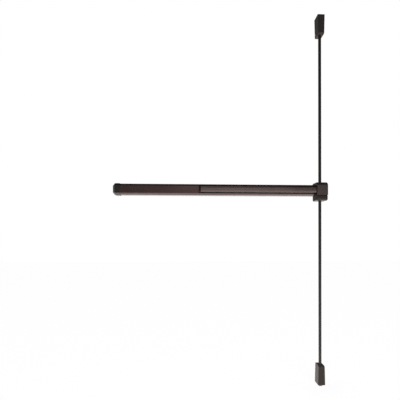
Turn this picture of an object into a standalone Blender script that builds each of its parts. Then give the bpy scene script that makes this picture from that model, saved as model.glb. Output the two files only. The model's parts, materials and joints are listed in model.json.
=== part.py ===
"""Surface vertical rod exit device: touchbar rail, centre case, two rods and two latch cases.

The door face is the plane Y = 0 and the device stands off it towards -Y. X runs along the rail,
with the rods at X = 0, and Z = 0 is the middle of the rail. Every piece is modelled at rest:
touchbar out, latch bolts thrown. Sizes are in metres.
"""

import math

import bmesh
import bpy
from mathutils import Matrix, Vector

# Fits, and how far a cutter runs past the wall that it opens
GAP = 0.0003
PLAY = 0.0006
STEP_GAP = 0.001
WELD = 0.00001
PAST_WALL = 0.004

# Motion: every crank swings through the same angle
PRESS_TRAVEL = 0.017
ROD_TRAVEL = 0.012
PUSH_REACH = 0.024
PULL_REACH = 0.016
HALF_SWING = math.asin(PRESS_TRAVEL / 2 / PUSH_REACH)
LIFT_REACH = ROD_TRAVEL / 2 / math.sin(HALF_SWING)

# Rods
ROD_RADIUS = 0.0083
ROD_Y = -0.027
STUD_RADIUS = 0.005
STUD_SEAT = 0.010
NUT_WIDTH = 0.017
NUT_HEIGHT = 0.007
NUT_SIDES = 6

# Rail
RAIL_LENGTH = 1.1275
RAIL_HALF = 0.031
RAIL_FRONT = -0.048
RAIL_CHAMFER = 0.010
CHAMFER_ANGLE = math.radians(45)
RAIL_WALL = 0.0024
RECESS_WALL = 0.0020
WEB_WALL = 0.0025
PLATE = 0.003
THIN_WALL = 0.002
FILLER_LEG = 0.012
BRACKET_LAP = 0.050
BRACKET_HALF = 0.024
BRACKET_SCREW_IN = 0.038
BRACKET_SCREW_Z = 0.014
TONGUE_LAP = 0.037
TONGUE_SCREW_IN = 0.025
TONGUE_SCREW_Z = 0.019

# Touchbar
TOUCH_LENGTH = 0.6524
TOUCH_FRONT = -0.072
TOUCH_MARGIN = 0.0045
TOUCH_ROUND = 0.009
TOUCH_WALL = 0.0024
TOUCH_BACK = -0.0375
TOUCH_FLANGE = 0.008
GROOVES = 3
GROOVE_PITCH = 0.006
GROOVE_WIDTH = 0.0016
GROOVE_DEPTH = 0.0010
END_PLUG = 0.0085
END_PLUG_RIGHT = 0.0025
PLUG_TONGUE = 0.010
PLUG_BACK = -0.046

# End cap
CAP_LENGTH = 0.038
CAP_OVERRUN = 0.0157
CAP_WALL = 0.002
CAP_CHAMFER = 0.012
CAP_SCREW_Y = -0.014
CAP_FLANGE_FRONT = -0.024
CAP_FLANGE_HALF = 0.010

# Centre case
CASE_HALF = 0.0325
CASE_TOP = 0.045
CASE_BOTTOM = -0.060
CASE_WALL = 0.0028
CASE_CROWN = 0.021
CASE_HEEL = 0.012
CASE_STEP = 0.004
CASE_STEP_Z = -0.030
CASE_SIDE_STEP = 0.0005
CASE_EDGE = 0.006
COVER_SCREWS = {"cover_screw_upper": 0.014, "cover_screw_lower": -0.014}
FLANGE_SCREW_Y = -0.011
CASE_FLANGE_FRONT = -0.020
FLANGE_HALF = 0.022
MOUNT_HOLE = 0.0028
MOUNT_SIDE = 0.0165
MOUNT_END = 0.010

# Levers in the rail and in the case
LEVER_HALF = 0.003
LEVER_ROUND = 0.0035
FINGER_ROUND = 0.003
FINGER_ROOM = 0.0012
HUB_RADIUS = 0.0055
PIVOT_RADIUS = 0.003
COLLAR_RADIUS = 0.0045
DRIVE_RADIUS = 0.0025
BELL_LEFT_IN = 0.089
BELL_RIGHT_IN = 0.0734
HAT_WALL = 0.0025
HAT_FOOT = 0.010
HAT_PLAY = 0.0013
HAT_LEFT = 0.009
HAT_RIGHT = 0.006
LINK_WALL = 0.003
LINK_END = 0.006
LINK_FOOT_HALF = 0.008
BAR_THICK = 0.003
BAR_HALF = 0.008
BAR_OVERRUN = 0.040
BAR_HEAD_LEAD = 0.0072
BAR_HEAD_HALF = 0.012
BAR_GUIDE_HALF = 0.010
SPRING_ROOM = 0.048
ANCHOR_FOOT = 0.018
ANCHOR_ROD = 0.030
CRANK_THICK = 0.003
CRANK_PIVOT_Z = 0.020
LIFTER_PLATE = 0.003
LIFTER_PLATE_HALF = 0.009
LIFTER_BLOCK_HALF = 0.010
LIFTER_EDGE = 0.0009

# Latch cases: the same case at both ends of the rods
LATCH_DEPTH = 0.053
LATCH_LENGTH = 0.111
LATCH_ROD_HALF = 0.018
LATCH_FAR_HALF = 0.0206
LATCH_WALL = 0.0025
LATCH_BEVEL = 0.002
LATCH_SLOPE_RISE = 0.006
LATCH_SLOPE_RUN = 0.0145
TOP_END = 1.006
BOTTOM_END = -1.1155
BUSH_WALL = 0.0018
BUSH_LENGTH = 0.0055
FLANGE_WALL = 0.0025
LATCH_SCREW = 0.020
LATCH_SCREW_Y = -0.008
LATCH_FLANGE = 0.007
LATCH_FLANGE_FRONT = -0.013
PLATE_HOLE_IN = 0.040
PLATE_HOLE_END = 0.011
SEAT_DROP = 0.036
NUT_ROOM = 0.014

# Top latch bolt, its nose as (Y, Z) offsets from the pivot
BOLT_PIVOT_DROP = 0.041
BOLT_HALF = 0.0055
FORK_WALL = 0.0026
FORK_BASE = 0.010
FORK_HALF = 0.007
EAR_WALL = 0.0024
EAR_HALF = 0.007
TAIL_ROUND = 0.0041
MOUTH_BACK = 0.008
NOSE = [
    (0.0046, -0.001), (0.0052, 0.036), (-0.001, 0.050),
    (-0.008, 0.050), (-0.014, 0.040), (-0.0043, -0.001),
]

# Bottom bolt
FOOT_BOLT_HALF = 0.0095
FOOT_BOLT_THROW = 0.012
FOOT_COLLAR = 0.008
GUIDE_LENGTH = 0.013
GUIDE_DROP = 0.068

# Springs and screws
SPRING_WIRE = 0.0008
SPRING_PLAY = 0.0004
SPRING_STEPS = 12
COIL_RADIUS = 0.0048
COIL_TURNS = 9
LATCH_COIL_TURNS = 6
SCREW_RADIUS = 0.0022
SCREW_HEAD = 0.004
SCREW_CROWN = 0.0028
SCREW_HEAD_HEIGHT = 0.0023
SCREW_RIM_HEIGHT = 0.0009
SCREW_LENGTH = 0.006

ROUND_SIDES = 28
SMALL_SIDES = 16
FLAT_ANGLE = math.radians(0.5)
SHARP_ANGLE = math.radians(23)
SMOOTH_ANGLE = math.radians(32)

# Along the rail, from the case's left side to the end cap
RAIL_RIGHT = -CASE_HALF - GAP
RAIL_LEFT = RAIL_RIGHT - RAIL_LENGTH
CAP_LEFT = RAIL_LEFT - CAP_OVERRUN
BRACKET_SCREWS = {
    "bracket_screw_upper": (RAIL_LEFT + BRACKET_SCREW_IN, BRACKET_SCREW_Z),
    "bracket_screw_lower": (RAIL_LEFT + BRACKET_SCREW_IN, -BRACKET_SCREW_Z),
}
TONGUE_SCREWS = {
    "rail_screw_upper": (RAIL_RIGHT - TONGUE_SCREW_IN, TONGUE_SCREW_Z),
    "rail_screw_lower": (RAIL_RIGHT - TONGUE_SCREW_IN, -TONGUE_SCREW_Z),
}
TOUCH_RIGHT = RAIL_RIGHT - STEP_GAP - END_PLUG_RIGHT - GAP
TOUCH_LEFT = TOUCH_RIGHT - TOUCH_LENGTH
FILLER_RIGHT = TOUCH_LEFT - GAP - END_PLUG - STEP_GAP
BELL_PIVOTS = {"left": TOUCH_LEFT + BELL_LEFT_IN, "right": TOUCH_RIGHT - BELL_RIGHT_IN}
BAR_LEFT = BELL_PIVOTS["left"] - BAR_OVERRUN
BAR_HEAD_LEFT = RAIL_RIGHT - BAR_HEAD_LEAD
ANCHOR_LEFT = BAR_LEFT - SPRING_ROOM
BAR_GUIDE_X = (BELL_PIVOTS["left"] + BELL_PIVOTS["right"]) / 2

# Across the rail, and from the door outwards
RAIL_INNER = RAIL_HALF - RAIL_WALL
RAIL_MOUTH = RAIL_HALF - RAIL_CHAMFER
TOUCH_HALF = RAIL_MOUTH - TOUCH_MARGIN
WEB_BACK = -PLATE - GAP
WEB_FRONT = WEB_BACK - WEB_WALL
BAR_BACK = WEB_FRONT - STEP_GAP
BAR_FRONT = BAR_BACK - BAR_THICK
BELL_PIVOT_Y = WEB_FRONT - FINGER_ROOM - FINGER_ROUND - PULL_REACH
COIL_Y = BAR_FRONT - STEP_GAP - SPRING_WIRE - COIL_RADIUS
TAB_FRONT = COIL_Y - COIL_RADIUS - SPRING_WIRE - STEP_GAP
CRANK_BACK = BAR_FRONT - STEP_GAP
CRANK_FRONT = CRANK_BACK - CRANK_THICK
LIFTER_BACK = CRANK_FRONT - STEP_GAP
LIFTER_FRONT = LIFTER_BACK - LIFTER_PLATE

# The cranks and slides in the case
CRANK_PIVOT_X = -LIFT_REACH
LIFT_X = CRANK_PIVOT_X + LIFT_REACH * math.cos(HALF_SWING)
LIFT_Z = CRANK_PIVOT_Z + LIFT_REACH * math.sin(HALF_SWING)
INPUT_X = CRANK_PIVOT_X + PULL_REACH * math.sin(HALF_SWING)
INPUT_Z = CRANK_PIVOT_Z - PULL_REACH * math.cos(HALF_SWING)
BAR_RIGHT = INPUT_X + DRIVE_RADIUS + PLAY + BAR_THICK
LIFTER_SEAT = LIFT_Z + DRIVE_RADIUS + PLAY + LIFTER_EDGE
LIFTER_TOP = LIFTER_SEAT + STUD_SEAT

# The latch cases on the rods
TOP_ROD_END = TOP_END - LATCH_LENGTH
BOTTOM_ROD_END = BOTTOM_END + LATCH_LENGTH
BUSH_RADIUS = ROD_RADIUS + PLAY / 2 + BUSH_WALL
SPRING_RADIUS = BUSH_RADIUS + SPRING_WIRE + SPRING_PLAY
SEAT_HALF = SPRING_RADIUS + SPRING_WIRE
PLATE_HOLES = (PLATE_HOLE_IN, LATCH_LENGTH - PLATE_HOLE_END)


def clear_scene():
    """Remove every object, so that the script builds into an empty scene."""
    for old in list(bpy.data.objects):
        bpy.data.objects.remove(old, do_unlink=True)


def new_collection(name):
    """A collection linked to the scene."""
    collection = bpy.data.collections.new(name)
    bpy.context.scene.collection.children.link(collection)
    return collection


def new_material(name, colour, roughness, metallic):
    """A Principled material."""
    made = bpy.data.materials.new(name)
    made.use_nodes = True
    shader = made.node_tree.nodes["Principled BSDF"]
    shader.inputs["Base Color"].default_value = (*colour, 1.0)
    shader.inputs["Roughness"].default_value = roughness
    shader.inputs["Metallic"].default_value = metallic
    made.diffuse_color = (*colour, 1.0)
    return made


clear_scene()
PARTS = new_collection("exit_device")
BRONZE = new_material("dark_bronze", (0.052, 0.040, 0.035), 0.42, 0.75)
ROD_BRONZE = new_material("rod_bronze", (0.024, 0.021, 0.018), 0.45, 0.7)
STEEL = new_material("zinc_steel", (0.50, 0.51, 0.52), 0.35, 1.0)
SPRING_STEEL = new_material("spring_steel", (0.34, 0.34, 0.35), 0.3, 1.0)
PLASTIC = new_material("dark_plastic", (0.018, 0.016, 0.015), 0.55, 0.0)
NYLON = new_material("black_nylon", (0.010, 0.010, 0.010), 0.5, 0.0)


def object_from(name, mesh):
    """A new object on a mesh, in the parts collection."""
    made = bpy.data.objects.new(name, mesh)
    PARTS.objects.link(made)
    return made


def bake(target, weld=True):
    """Replace an object by its evaluated mesh, with the loose caps welded and the faces pointing out."""
    graph = bpy.context.evaluated_depsgraph_get()
    graph.update()
    mesh = bpy.data.meshes.new_from_object(target.evaluated_get(graph))
    mesh.transform(target.matrix_world)
    name = target.name
    bpy.data.objects.remove(target, do_unlink=True)
    work = bmesh.new()
    work.from_mesh(mesh)
    if weld:
        bmesh.ops.remove_doubles(work, verts=work.verts, dist=WELD)
    bmesh.ops.recalc_face_normals(work, faces=work.faces)
    work.to_mesh(mesh)
    work.free()
    made = object_from(name, mesh)
    bpy.context.view_layer.update()
    return made


def combine(operation, target, tools):
    """Join tools to a piece, cut them out of it, or keep what they share."""
    for tool in tools:
        boolean = target.modifiers.new(operation.lower(), "BOOLEAN")
        boolean.operation = operation
        boolean.object = tool
    made = bake(target, weld=False)
    for tool in tools:
        bpy.data.objects.remove(tool, do_unlink=True)
    return made


def join(target, *tools):
    """One solid from several that meet."""
    return combine("UNION", target, tools)


def cut(target, *tools):
    """The piece with the tools' shapes taken out."""
    return combine("DIFFERENCE", target, tools)


def block(name, x, y, z):
    """A box between two corners, each axis given as a pair."""
    mesh = bpy.data.meshes.new(name)
    work = bmesh.new()
    size = Matrix.Diagonal((abs(x[1] - x[0]), abs(y[1] - y[0]), abs(z[1] - z[0]), 1.0))
    middle = Matrix.Translation((sum(x) / 2, sum(y) / 2, sum(z) / 2))
    bmesh.ops.create_cube(work, size=1.0, matrix=middle @ size)
    work.to_mesh(mesh)
    work.free()
    return object_from(name, mesh)


FRAMES = {
    "X": Matrix(((0, 0, 1), (1, 0, 0), (0, 1, 0))),
    "Y": Matrix(((1, 0, 0), (0, 0, -1), (0, 1, 0))),
    "Z": Matrix.Identity(3),
}


def prism(name, outline, axis, start, end):
    """An outline extruded along an axis: (Y, Z) points along X, (X, Z) along Y, (X, Y) along Z."""
    curve = bpy.data.curves.new(name, "CURVE")
    curve.dimensions = "2D"
    curve.fill_mode = "BOTH"
    curve.extrude = abs(end - start) / 2
    spline = curve.splines.new("POLY")
    spline.points.add(len(outline) - 1)
    for point, (u, v) in zip(spline.points, outline):
        point.co = (u, v, 0.0, 1.0)
    spline.use_cyclic_u = True
    made = object_from(name, curve)
    turn = FRAMES[axis].to_4x4()
    middle = (start + end) / 2
    along = {"X": Vector((middle, 0, 0)), "Y": Vector((0, middle, 0)), "Z": Vector((0, 0, middle))}
    made.matrix_world = Matrix.Translation(along[axis]) @ turn
    bpy.context.view_layer.update()
    return bake(made)


def cylinder(name, radius, axis, centre, start, end, sides=ROUND_SIDES):
    """A cylinder along an axis; centre gives the other two coordinates in X, Y, Z order."""
    mesh = bpy.data.meshes.new(name)
    work = bmesh.new()
    middle = (start + end) / 2
    place = {
        "X": Vector((middle, *centre)),
        "Y": Vector((centre[0], middle, centre[1])),
        "Z": Vector((*centre, middle)),
    }[axis]
    bmesh.ops.create_cone(
        work, cap_ends=True, segments=sides, radius1=radius, radius2=radius, depth=abs(end - start),
        matrix=Matrix.Translation(place) @ FRAMES[axis].to_4x4(),
    )
    work.to_mesh(mesh)
    work.free()
    return object_from(name, mesh)


def turned(name, profile, place, turn=Matrix.Identity(3), sides=ROUND_SIDES):
    """A turned piece: (radius, height) points from the top down, spun about its own Z axis."""
    mesh = bpy.data.meshes.new(name)
    edges = [(i, i + 1) for i in range(len(profile) - 1)]
    mesh.from_pydata([(r, 0.0, h) for r, h in profile], edges, [])
    made = object_from(name, mesh)
    screw = made.modifiers.new("turn", "SCREW")
    screw.steps = screw.render_steps = sides
    screw.use_merge_vertices = True
    screw.merge_threshold = WELD
    made.matrix_world = Matrix.Translation(place) @ turn.to_4x4()
    bpy.context.view_layer.update()
    return bake(made)


def capsule(start, end, radius, steps=8):
    """The outline of a bar with round ends, as points in its own plane."""
    a, b = Vector(start), Vector(end)
    heading = math.atan2(b.y - a.y, b.x - a.x)
    points = []
    for centre, first in ((b, heading - math.pi / 2), (a, heading + math.pi / 2)):
        for i in range(steps + 1):
            angle = first + math.pi * i / steps
            points.append((centre.x + radius * math.cos(angle), centre.y + radius * math.sin(angle)))
    return points


def arc(centre, radius, first, last, steps=5):
    """Points along an arc, angles in degrees."""
    span = [math.radians(first + (last - first) * i / steps) for i in range(steps + 1)]
    return [(centre[0] + radius * math.cos(a), centre[1] + radius * math.sin(a)) for a in span]


def bevel_edges(target, width, segments, chosen):
    """Round the edges of a piece that a test on their two end points picks."""
    work = bmesh.new()
    work.from_mesh(target.data)
    bmesh.ops.dissolve_limit(work, angle_limit=FLAT_ANGLE, verts=work.verts, edges=work.edges)
    picked = [edge for edge in work.edges if chosen(edge.verts[0].co, edge.verts[1].co)]
    edges = [edge for edge in picked if edge.calc_face_angle(0) > SHARP_ANGLE]
    bmesh.ops.bevel(work, geom=edges, offset=width, segments=segments, affect="EDGES", profile=0.5)
    work.to_mesh(target.data)
    work.free()
    return target


def finish(target, material, origin=(0.0, 0.0, 0.0)):
    """Give a piece its material, its origin and its shading."""
    target.data.materials.clear()
    target.data.materials.append(material)
    target.data.transform(Matrix.Translation(-Vector(origin)))
    target.location = origin
    target.data.shade_smooth()
    target.data.set_sharp_from_angle(angle=SMOOTH_ANGLE)
    return target


def mirrored(points):
    """A half outline and its mirror image in Z, as one closed loop."""
    return points + [(u, -v) for u, v in reversed(points)]


def hole(axis, centre, start, end, radius=SCREW_RADIUS + PLAY / 2):
    """A round cutter for a screw or a pin."""
    return cylinder("hole", radius, axis, centre, start, end, SMALL_SIDES)


def screw(name, seat, turn, length=SCREW_LENGTH):
    """A pan head screw, its head standing on the seat and its shank going along the turned -Z."""
    profile = [
        (0.0, SCREW_HEAD_HEIGHT), (SCREW_CROWN, SCREW_HEAD_HEIGHT), (SCREW_HEAD, SCREW_RIM_HEIGHT),
        (SCREW_HEAD, 0.0), (SCREW_RADIUS, 0.0), (SCREW_RADIUS, -length), (0.0, -length),
    ]
    made = turned(name, profile, Vector(seat), turn, SMALL_SIDES)
    return finish(made, STEEL)


TO_VIEWER = Matrix.Rotation(math.pi / 2, 3, "X")
TO_RIGHT = Matrix.Rotation(math.pi / 2, 3, "Y")
TO_LEFT = Matrix.Rotation(-math.pi / 2, 3, "Y")


def spring(name, axis, centre, start, end, radius, turns):
    """A coil spring with its ends cut off flat across the wire."""
    curve = bpy.data.curves.new(name, "CURVE")
    curve.dimensions = "3D"
    curve.bevel_depth = SPRING_WIRE
    curve.bevel_resolution = 1
    curve.use_fill_caps = True
    count = turns * SPRING_STEPS + 1
    spline = curve.splines.new("POLY")
    spline.points.add(count - 1)
    low, high = start + SPRING_WIRE, end - SPRING_WIRE
    for i, point in enumerate(spline.points):
        angle = math.tau * i / SPRING_STEPS
        height = low + (high - low) * i / (count - 1)
        point.co = (radius * math.cos(angle), radius * math.sin(angle), height, 1.0)
    made = object_from(name, curve)
    place = {"X": Vector((0, *centre)), "Z": Vector((*centre, 0))}[axis]
    made.matrix_world = Matrix.Translation(place) @ FRAMES[axis].to_4x4()
    bpy.context.view_layer.update()
    return finish(bake(made), SPRING_STEEL)


def rail_outline():
    """The channel's section: chamfered front edges, a web near the door and an open front."""
    lean = RAIL_WALL * math.sqrt(2)
    chamfer_back = RAIL_FRONT + RAIL_CHAMFER
    top = RAIL_HALF - chamfer_back
    recess = RAIL_HALF - RECESS_WALL
    half = [
        (0.0, recess), (0.0, RAIL_HALF), (chamfer_back, RAIL_HALF), (RAIL_FRONT, RAIL_MOUTH),
        (RAIL_MOUTH + lean - top, RAIL_MOUTH), (RAIL_INNER + lean - top, RAIL_INNER),
        (WEB_FRONT, RAIL_INNER),
    ]
    return mirrored(half) + [(WEB_BACK, -recess), (WEB_BACK, recess)]


def build_rail():
    """The channel, and the screws that hold its web to the bracket and to the case's tongue."""
    seats = {**BRACKET_SCREWS, **TONGUE_SCREWS}
    rail = prism("rail_channel", rail_outline(), "X", RAIL_LEFT, RAIL_RIGHT)
    rail = cut(rail, *[hole("Y", seat, WEB_FRONT - GAP, WEB_BACK + GAP) for seat in seats.values()])
    finish(rail, BRONZE)
    for name, (x, z) in seats.items():
        screw(name, (x, WEB_FRONT - GAP, z), TO_VIEWER)


def build_filler():
    """The snap-in strip that closes the channel's front between the end cap and the touchbar."""
    outer = RAIL_MOUTH - GAP
    inner = outer - THIN_WALL
    back = RAIL_FRONT + FILLER_LEG
    floor = RAIL_FRONT + THIN_WALL
    half = [(back, inner), (back, outer), (RAIL_FRONT, outer)]
    loop = mirrored(half) + [(floor, -inner), (floor, inner)]
    finish(prism("rail_filler", loop, "X", RAIL_LEFT + STEP_GAP, FILLER_RIGHT), BRONZE)


def cap_outline(grow, back):
    """The rail's outer section grown by a wall, and its back edge."""
    half = RAIL_HALF + grow
    chamfer_back = RAIL_FRONT + RAIL_CHAMFER
    slack = grow * math.tan(CHAMFER_ANGLE / 2)
    return mirrored([(back, half), (chamfer_back - slack, half), (RAIL_FRONT - grow, RAIL_MOUTH + slack)])


def build_end_cap():
    """The moulded cap over the rail's left end, and its screw."""
    def left_rim(a, b):
        return max(a.x, b.x) < CAP_LEFT + CAP_CHAMFER and min(a.y, b.y) < -GAP

    right = CAP_LEFT + CAP_LENGTH
    outer = prism("end_cap", cap_outline(GAP + CAP_WALL, 0.0), "X", CAP_LEFT, right)
    bevel_edges(outer, CAP_CHAMFER, 1, left_rim)
    hollow = prism("hollow", cap_outline(GAP, PLATE), "X", CAP_LEFT + CAP_WALL, right + STEP_GAP)
    bevel_edges(hollow, CAP_CHAMFER, 1, left_rim)
    bore = hole("X", (CAP_SCREW_Y, 0.0), CAP_LEFT - GAP, CAP_LEFT + CAP_WALL + STEP_GAP)
    finish(cut(outer, hollow, bore), PLASTIC)
    screw("end_cap_screw", (CAP_LEFT - GAP, CAP_SCREW_Y, 0.0), TO_LEFT)


def build_end_bracket():
    """The bracket on the door that holds the rail's left end, its flange taking the cap's screw."""
    flange_left = CAP_LEFT + CAP_WALL + STEP_GAP
    wide = (CAP_LEFT + CAP_CHAMFER, RAIL_LEFT + BRACKET_LAP)
    narrow = (-CAP_FLANGE_HALF, CAP_FLANGE_HALF)
    plate = block("end_bracket", wide, (-PLATE, 0.0), (-BRACKET_HALF, BRACKET_HALF))
    neck = block("neck", (flange_left, wide[0] + STEP_GAP), (-PLATE, 0.0), narrow)
    flange = block("flange", (flange_left, flange_left + PLATE), (CAP_FLANGE_FRONT, -PLATE / 2), narrow)
    bracket = join(plate, neck, flange)
    bracket = cut(
        bracket, hole("X", (CAP_SCREW_Y, 0.0), flange_left - GAP, flange_left + PLATE + GAP),
        *[hole("Y", seat, -PLATE - GAP, GAP) for seat in BRACKET_SCREWS.values()],
    )
    finish(bracket, STEEL)


def touchbar_outline():
    """The touchbar's section: a grooved front with round corners and flanges behind the rail's lips."""
    flange = TOUCH_HALF + TOUCH_FLANGE
    inner = TOUCH_HALF - TOUCH_WALL
    flange_front = TOUCH_BACK - THIN_WALL
    centre = (TOUCH_FRONT + TOUCH_ROUND, TOUCH_HALF - TOUCH_ROUND)
    half = [(TOUCH_BACK, flange), (flange_front, flange), (flange_front, TOUCH_HALF)]
    half += arc(centre, TOUCH_ROUND, 90, 180)
    grooves = []
    for i in range(GROOVES):
        middle = GROOVE_PITCH * ((GROOVES - 1) / 2 - i)
        top, bottom = middle + GROOVE_WIDTH / 2, middle - GROOVE_WIDTH / 2
        floor = TOUCH_FRONT + GROOVE_DEPTH
        grooves += [(TOUCH_FRONT, top), (floor, top), (floor, bottom), (TOUCH_FRONT, bottom)]
    lower = [(u, -v) for u, v in reversed(half)]
    inside = arc(centre, TOUCH_ROUND - TOUCH_WALL, 180, 90) + [(TOUCH_BACK, inner)]
    return half + grooves + lower + [(u, -v) for u, v in reversed(inside)] + inside


def plug(name, start, end, tongue_end):
    """A moulded plug for one end of the touchbar: a face and a tongue that fills the bar's hollow."""
    def face(half, front, back):
        centre = (front + TOUCH_ROUND, half - TOUCH_ROUND)
        return mirrored([(back, half)] + arc(centre, TOUCH_ROUND, 90, 180))

    outer = prism(name, face(TOUCH_HALF, TOUCH_FRONT + GAP, TOUCH_BACK), "X", start, end)
    inset = TOUCH_WALL + GAP
    root = start + STEP_GAP if tongue_end < start else end - STEP_GAP
    fill = face(TOUCH_HALF - inset, TOUCH_FRONT + inset, PLUG_BACK)
    tongue = prism("tongue", fill, "X", root, tongue_end)
    return finish(join(outer, tongue), PLASTIC)


def build_touchbar():
    """The pressed bar with its end plugs and the two links that carry the bell cranks' pins."""
    bar = prism("touchbar", touchbar_outline(), "X", TOUCH_LEFT, TOUCH_RIGHT)
    finish(bar, BRONZE)
    left = TOUCH_LEFT - GAP
    plug("touchbar_plug_left", left - END_PLUG, left, left + PLUG_TONGUE)
    right = TOUCH_RIGHT + GAP
    plug("touchbar_plug_right", right, right + END_PLUG_RIGHT, right - PLUG_TONGUE)
    seat = TOUCH_FRONT + TOUCH_WALL + GAP
    ear_in = LEVER_HALF + STEP_GAP
    ear_out = ear_in + LINK_WALL
    foot = seat + LINK_WALL
    for side, pivot in BELL_PIVOTS.items():
        pin_x, pin_y = push_pin(pivot)
        end = pin_y + LINK_END
        half = [
            (end, ear_in), (end, ear_out), (foot, ear_out),
            (foot, LINK_FOOT_HALF), (seat, LINK_FOOT_HALF),
        ]
        loop = mirrored(half) + [(foot, -ear_in), (foot, ear_in)]
        link = prism(f"touchbar_link_{side}", loop, "X", pin_x - LINK_END, pin_x + LINK_END + STEP_GAP)
        track = capsule((pin_x, pin_y), (pivot + PUSH_REACH, pin_y), DRIVE_RADIUS + PLAY)
        finish(cut(link, prism("slot", track, "Z", -ear_out - GAP, ear_out + GAP)), STEEL)


def push_pin(pivot):
    """Where a bell crank's push pin is at rest, in X and Y."""
    across, along = PUSH_REACH * math.sin(HALF_SWING), PUSH_REACH * math.cos(HALF_SWING)
    return pivot + along, BELL_PIVOT_Y - across


def pull_tip(pivot):
    """Where the finger that pulls the bar is at rest, in X and Y."""
    across, along = PULL_REACH * math.cos(HALF_SWING), PULL_REACH * math.sin(HALF_SWING)
    return pivot + along, BELL_PIVOT_Y + across


def hat(name, x, inner_half, inner_front, wall):
    """A folded bracket that spans the actuator bar, with two feet on the web."""
    back = WEB_FRONT - GAP
    side = inner_half + wall
    foot = back - wall
    half = [(back, side + HAT_FOOT), (foot, side + HAT_FOOT), (foot, side), (inner_front - wall, side)]
    inside = mirrored([(back, inner_half), (inner_front, inner_half)])
    return prism(name, mirrored(half) + inside[::-1], "X", *x)


def build_bell_crank(side, pivot):
    """A crank that turns the touchbar's press into a pull along the rail, its bracket and its pin."""
    centre = (pivot, BELL_PIVOT_Y)
    pin = push_pin(pivot)
    thick = (-LEVER_HALF, LEVER_HALF)
    inner_half = BAR_HALF + HAT_PLAY
    crank = prism(f"bell_crank_{side}", capsule(centre, pin, LEVER_ROUND), "Z", *thick)
    finger = prism("finger", capsule(centre, pull_tip(pivot), FINGER_ROUND), "Z", *thick)
    hub = cylinder("hub", HUB_RADIUS, "Z", centre, GAP - inner_half, inner_half - GAP)
    reach = LEVER_HALF + STEP_GAP + LINK_WALL + STEP_GAP
    drive = cylinder("drive", DRIVE_RADIUS, "Z", pin, -reach, reach, SMALL_SIDES)
    crank = join(crank, finger, hub, drive)
    bore = hole("Z", centre, -inner_half, inner_half, PIVOT_RADIUS + GAP)
    finish(cut(crank, bore), STEEL, (*centre, 0.0))
    front = BELL_PIVOT_Y - HUB_RADIUS - STEP_GAP - PLAY
    ends = (pivot - HAT_LEFT, pivot + HAT_RIGHT)
    bracket = hat(f"crank_bracket_{side}", ends, inner_half, front, HAT_WALL)
    end = inner_half + HAT_WALL + PLAY
    finish(cut(bracket, hole("Z", centre, -end, end, PIVOT_RADIUS + GAP)), STEEL)
    finish(cylinder(f"crank_pin_{side}", PIVOT_RADIUS, "Z", centre, -end, end, SMALL_SIDES), STEEL)


def build_actuator():
    """The long bar that the bell cranks pull, and the bracket that guides it."""
    half = [
        (BAR_LEFT, BAR_HALF), (BAR_HEAD_LEFT, BAR_HALF),
        (BAR_HEAD_LEFT, BAR_HEAD_HALF), (BAR_RIGHT, BAR_HEAD_HALF),
    ]
    bar = prism("actuator_bar", mirrored(half), "Y", BAR_FRONT, BAR_BACK)
    tab = block("tab", (BAR_LEFT, BAR_LEFT + BAR_THICK), (TAB_FRONT, BAR_BACK), (-BAR_HALF, BAR_HALF))
    bar = join(bar, tab)
    deep = (BAR_FRONT - STEP_GAP, BAR_BACK + STEP_GAP)
    room = FINGER_ROUND + PLAY
    tall = (-LEVER_HALF - PLAY, LEVER_HALF + PLAY)
    tips = [pull_tip(pivot)[0] for pivot in BELL_PIVOTS.values()]
    windows = [block("window", (tip - room, tip + room), deep, tall) for tip in tips]
    slot = DRIVE_RADIUS + PLAY
    slot_top = INPUT_Z + slot
    windows.append(block("slot", (INPUT_X - slot, INPUT_X + slot), deep, (-slot_top, slot_top)))
    finish(cut(bar, *windows), STEEL)
    ends = (BAR_GUIDE_X - BAR_GUIDE_HALF, BAR_GUIDE_X + BAR_GUIDE_HALF)
    finish(hat("actuator_guide", ends, BAR_HALF + PLAY, BAR_FRONT - PLAY, THIN_WALL), STEEL)


def build_return_spring():
    """The spring that pushes the bar back, and the anchor on the web that it pushes from."""
    back = WEB_FRONT - GAP
    tall = (-BAR_HALF, BAR_HALF)
    start = ANCHOR_LEFT + BAR_THICK
    wall = block("spring_anchor", (ANCHOR_LEFT, start), (TAB_FRONT, back), tall)
    foot = block("foot", (ANCHOR_LEFT, ANCHOR_LEFT + ANCHOR_FOOT), (back - HAT_WALL, back), tall)
    axis = (COIL_Y, 0.0)
    rod = cylinder("rod", PIVOT_RADIUS, "X", axis, start - STEP_GAP, start + ANCHOR_ROD, SMALL_SIDES)
    finish(join(wall, foot, rod), STEEL)
    spring("actuator_spring", "X", axis, start + GAP, BAR_LEFT - GAP, COIL_RADIUS, COIL_TURNS)


def crown_outline(inset, back):
    """The case's upper part in side view, shrunk by an inset: a flat front with a round crown."""
    front, foot = TOUCH_FRONT + inset, CASE_STEP_Z + inset
    centre = (TOUCH_FRONT + CASE_CROWN, CASE_TOP - CASE_CROWN)
    crown = arc(centre, CASE_CROWN - inset, 180, 90)
    return [(back, foot), (front, foot)] + crown + [(back, CASE_TOP - inset)]


def heel_outline(inset, back):
    """The case's lower part in side view, shrunk by an inset: set back, and round at its foot."""
    front, top = TOUCH_FRONT + CASE_STEP, CASE_STEP_Z + CASE_EDGE * 2
    centre = (front + CASE_HEEL, CASE_BOTTOM + CASE_HEEL)
    foot = [(back, CASE_BOTTOM + inset)] + arc(centre, CASE_HEEL - inset, 270, 180)
    return foot + [(front + inset, top), (back, top)]


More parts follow.
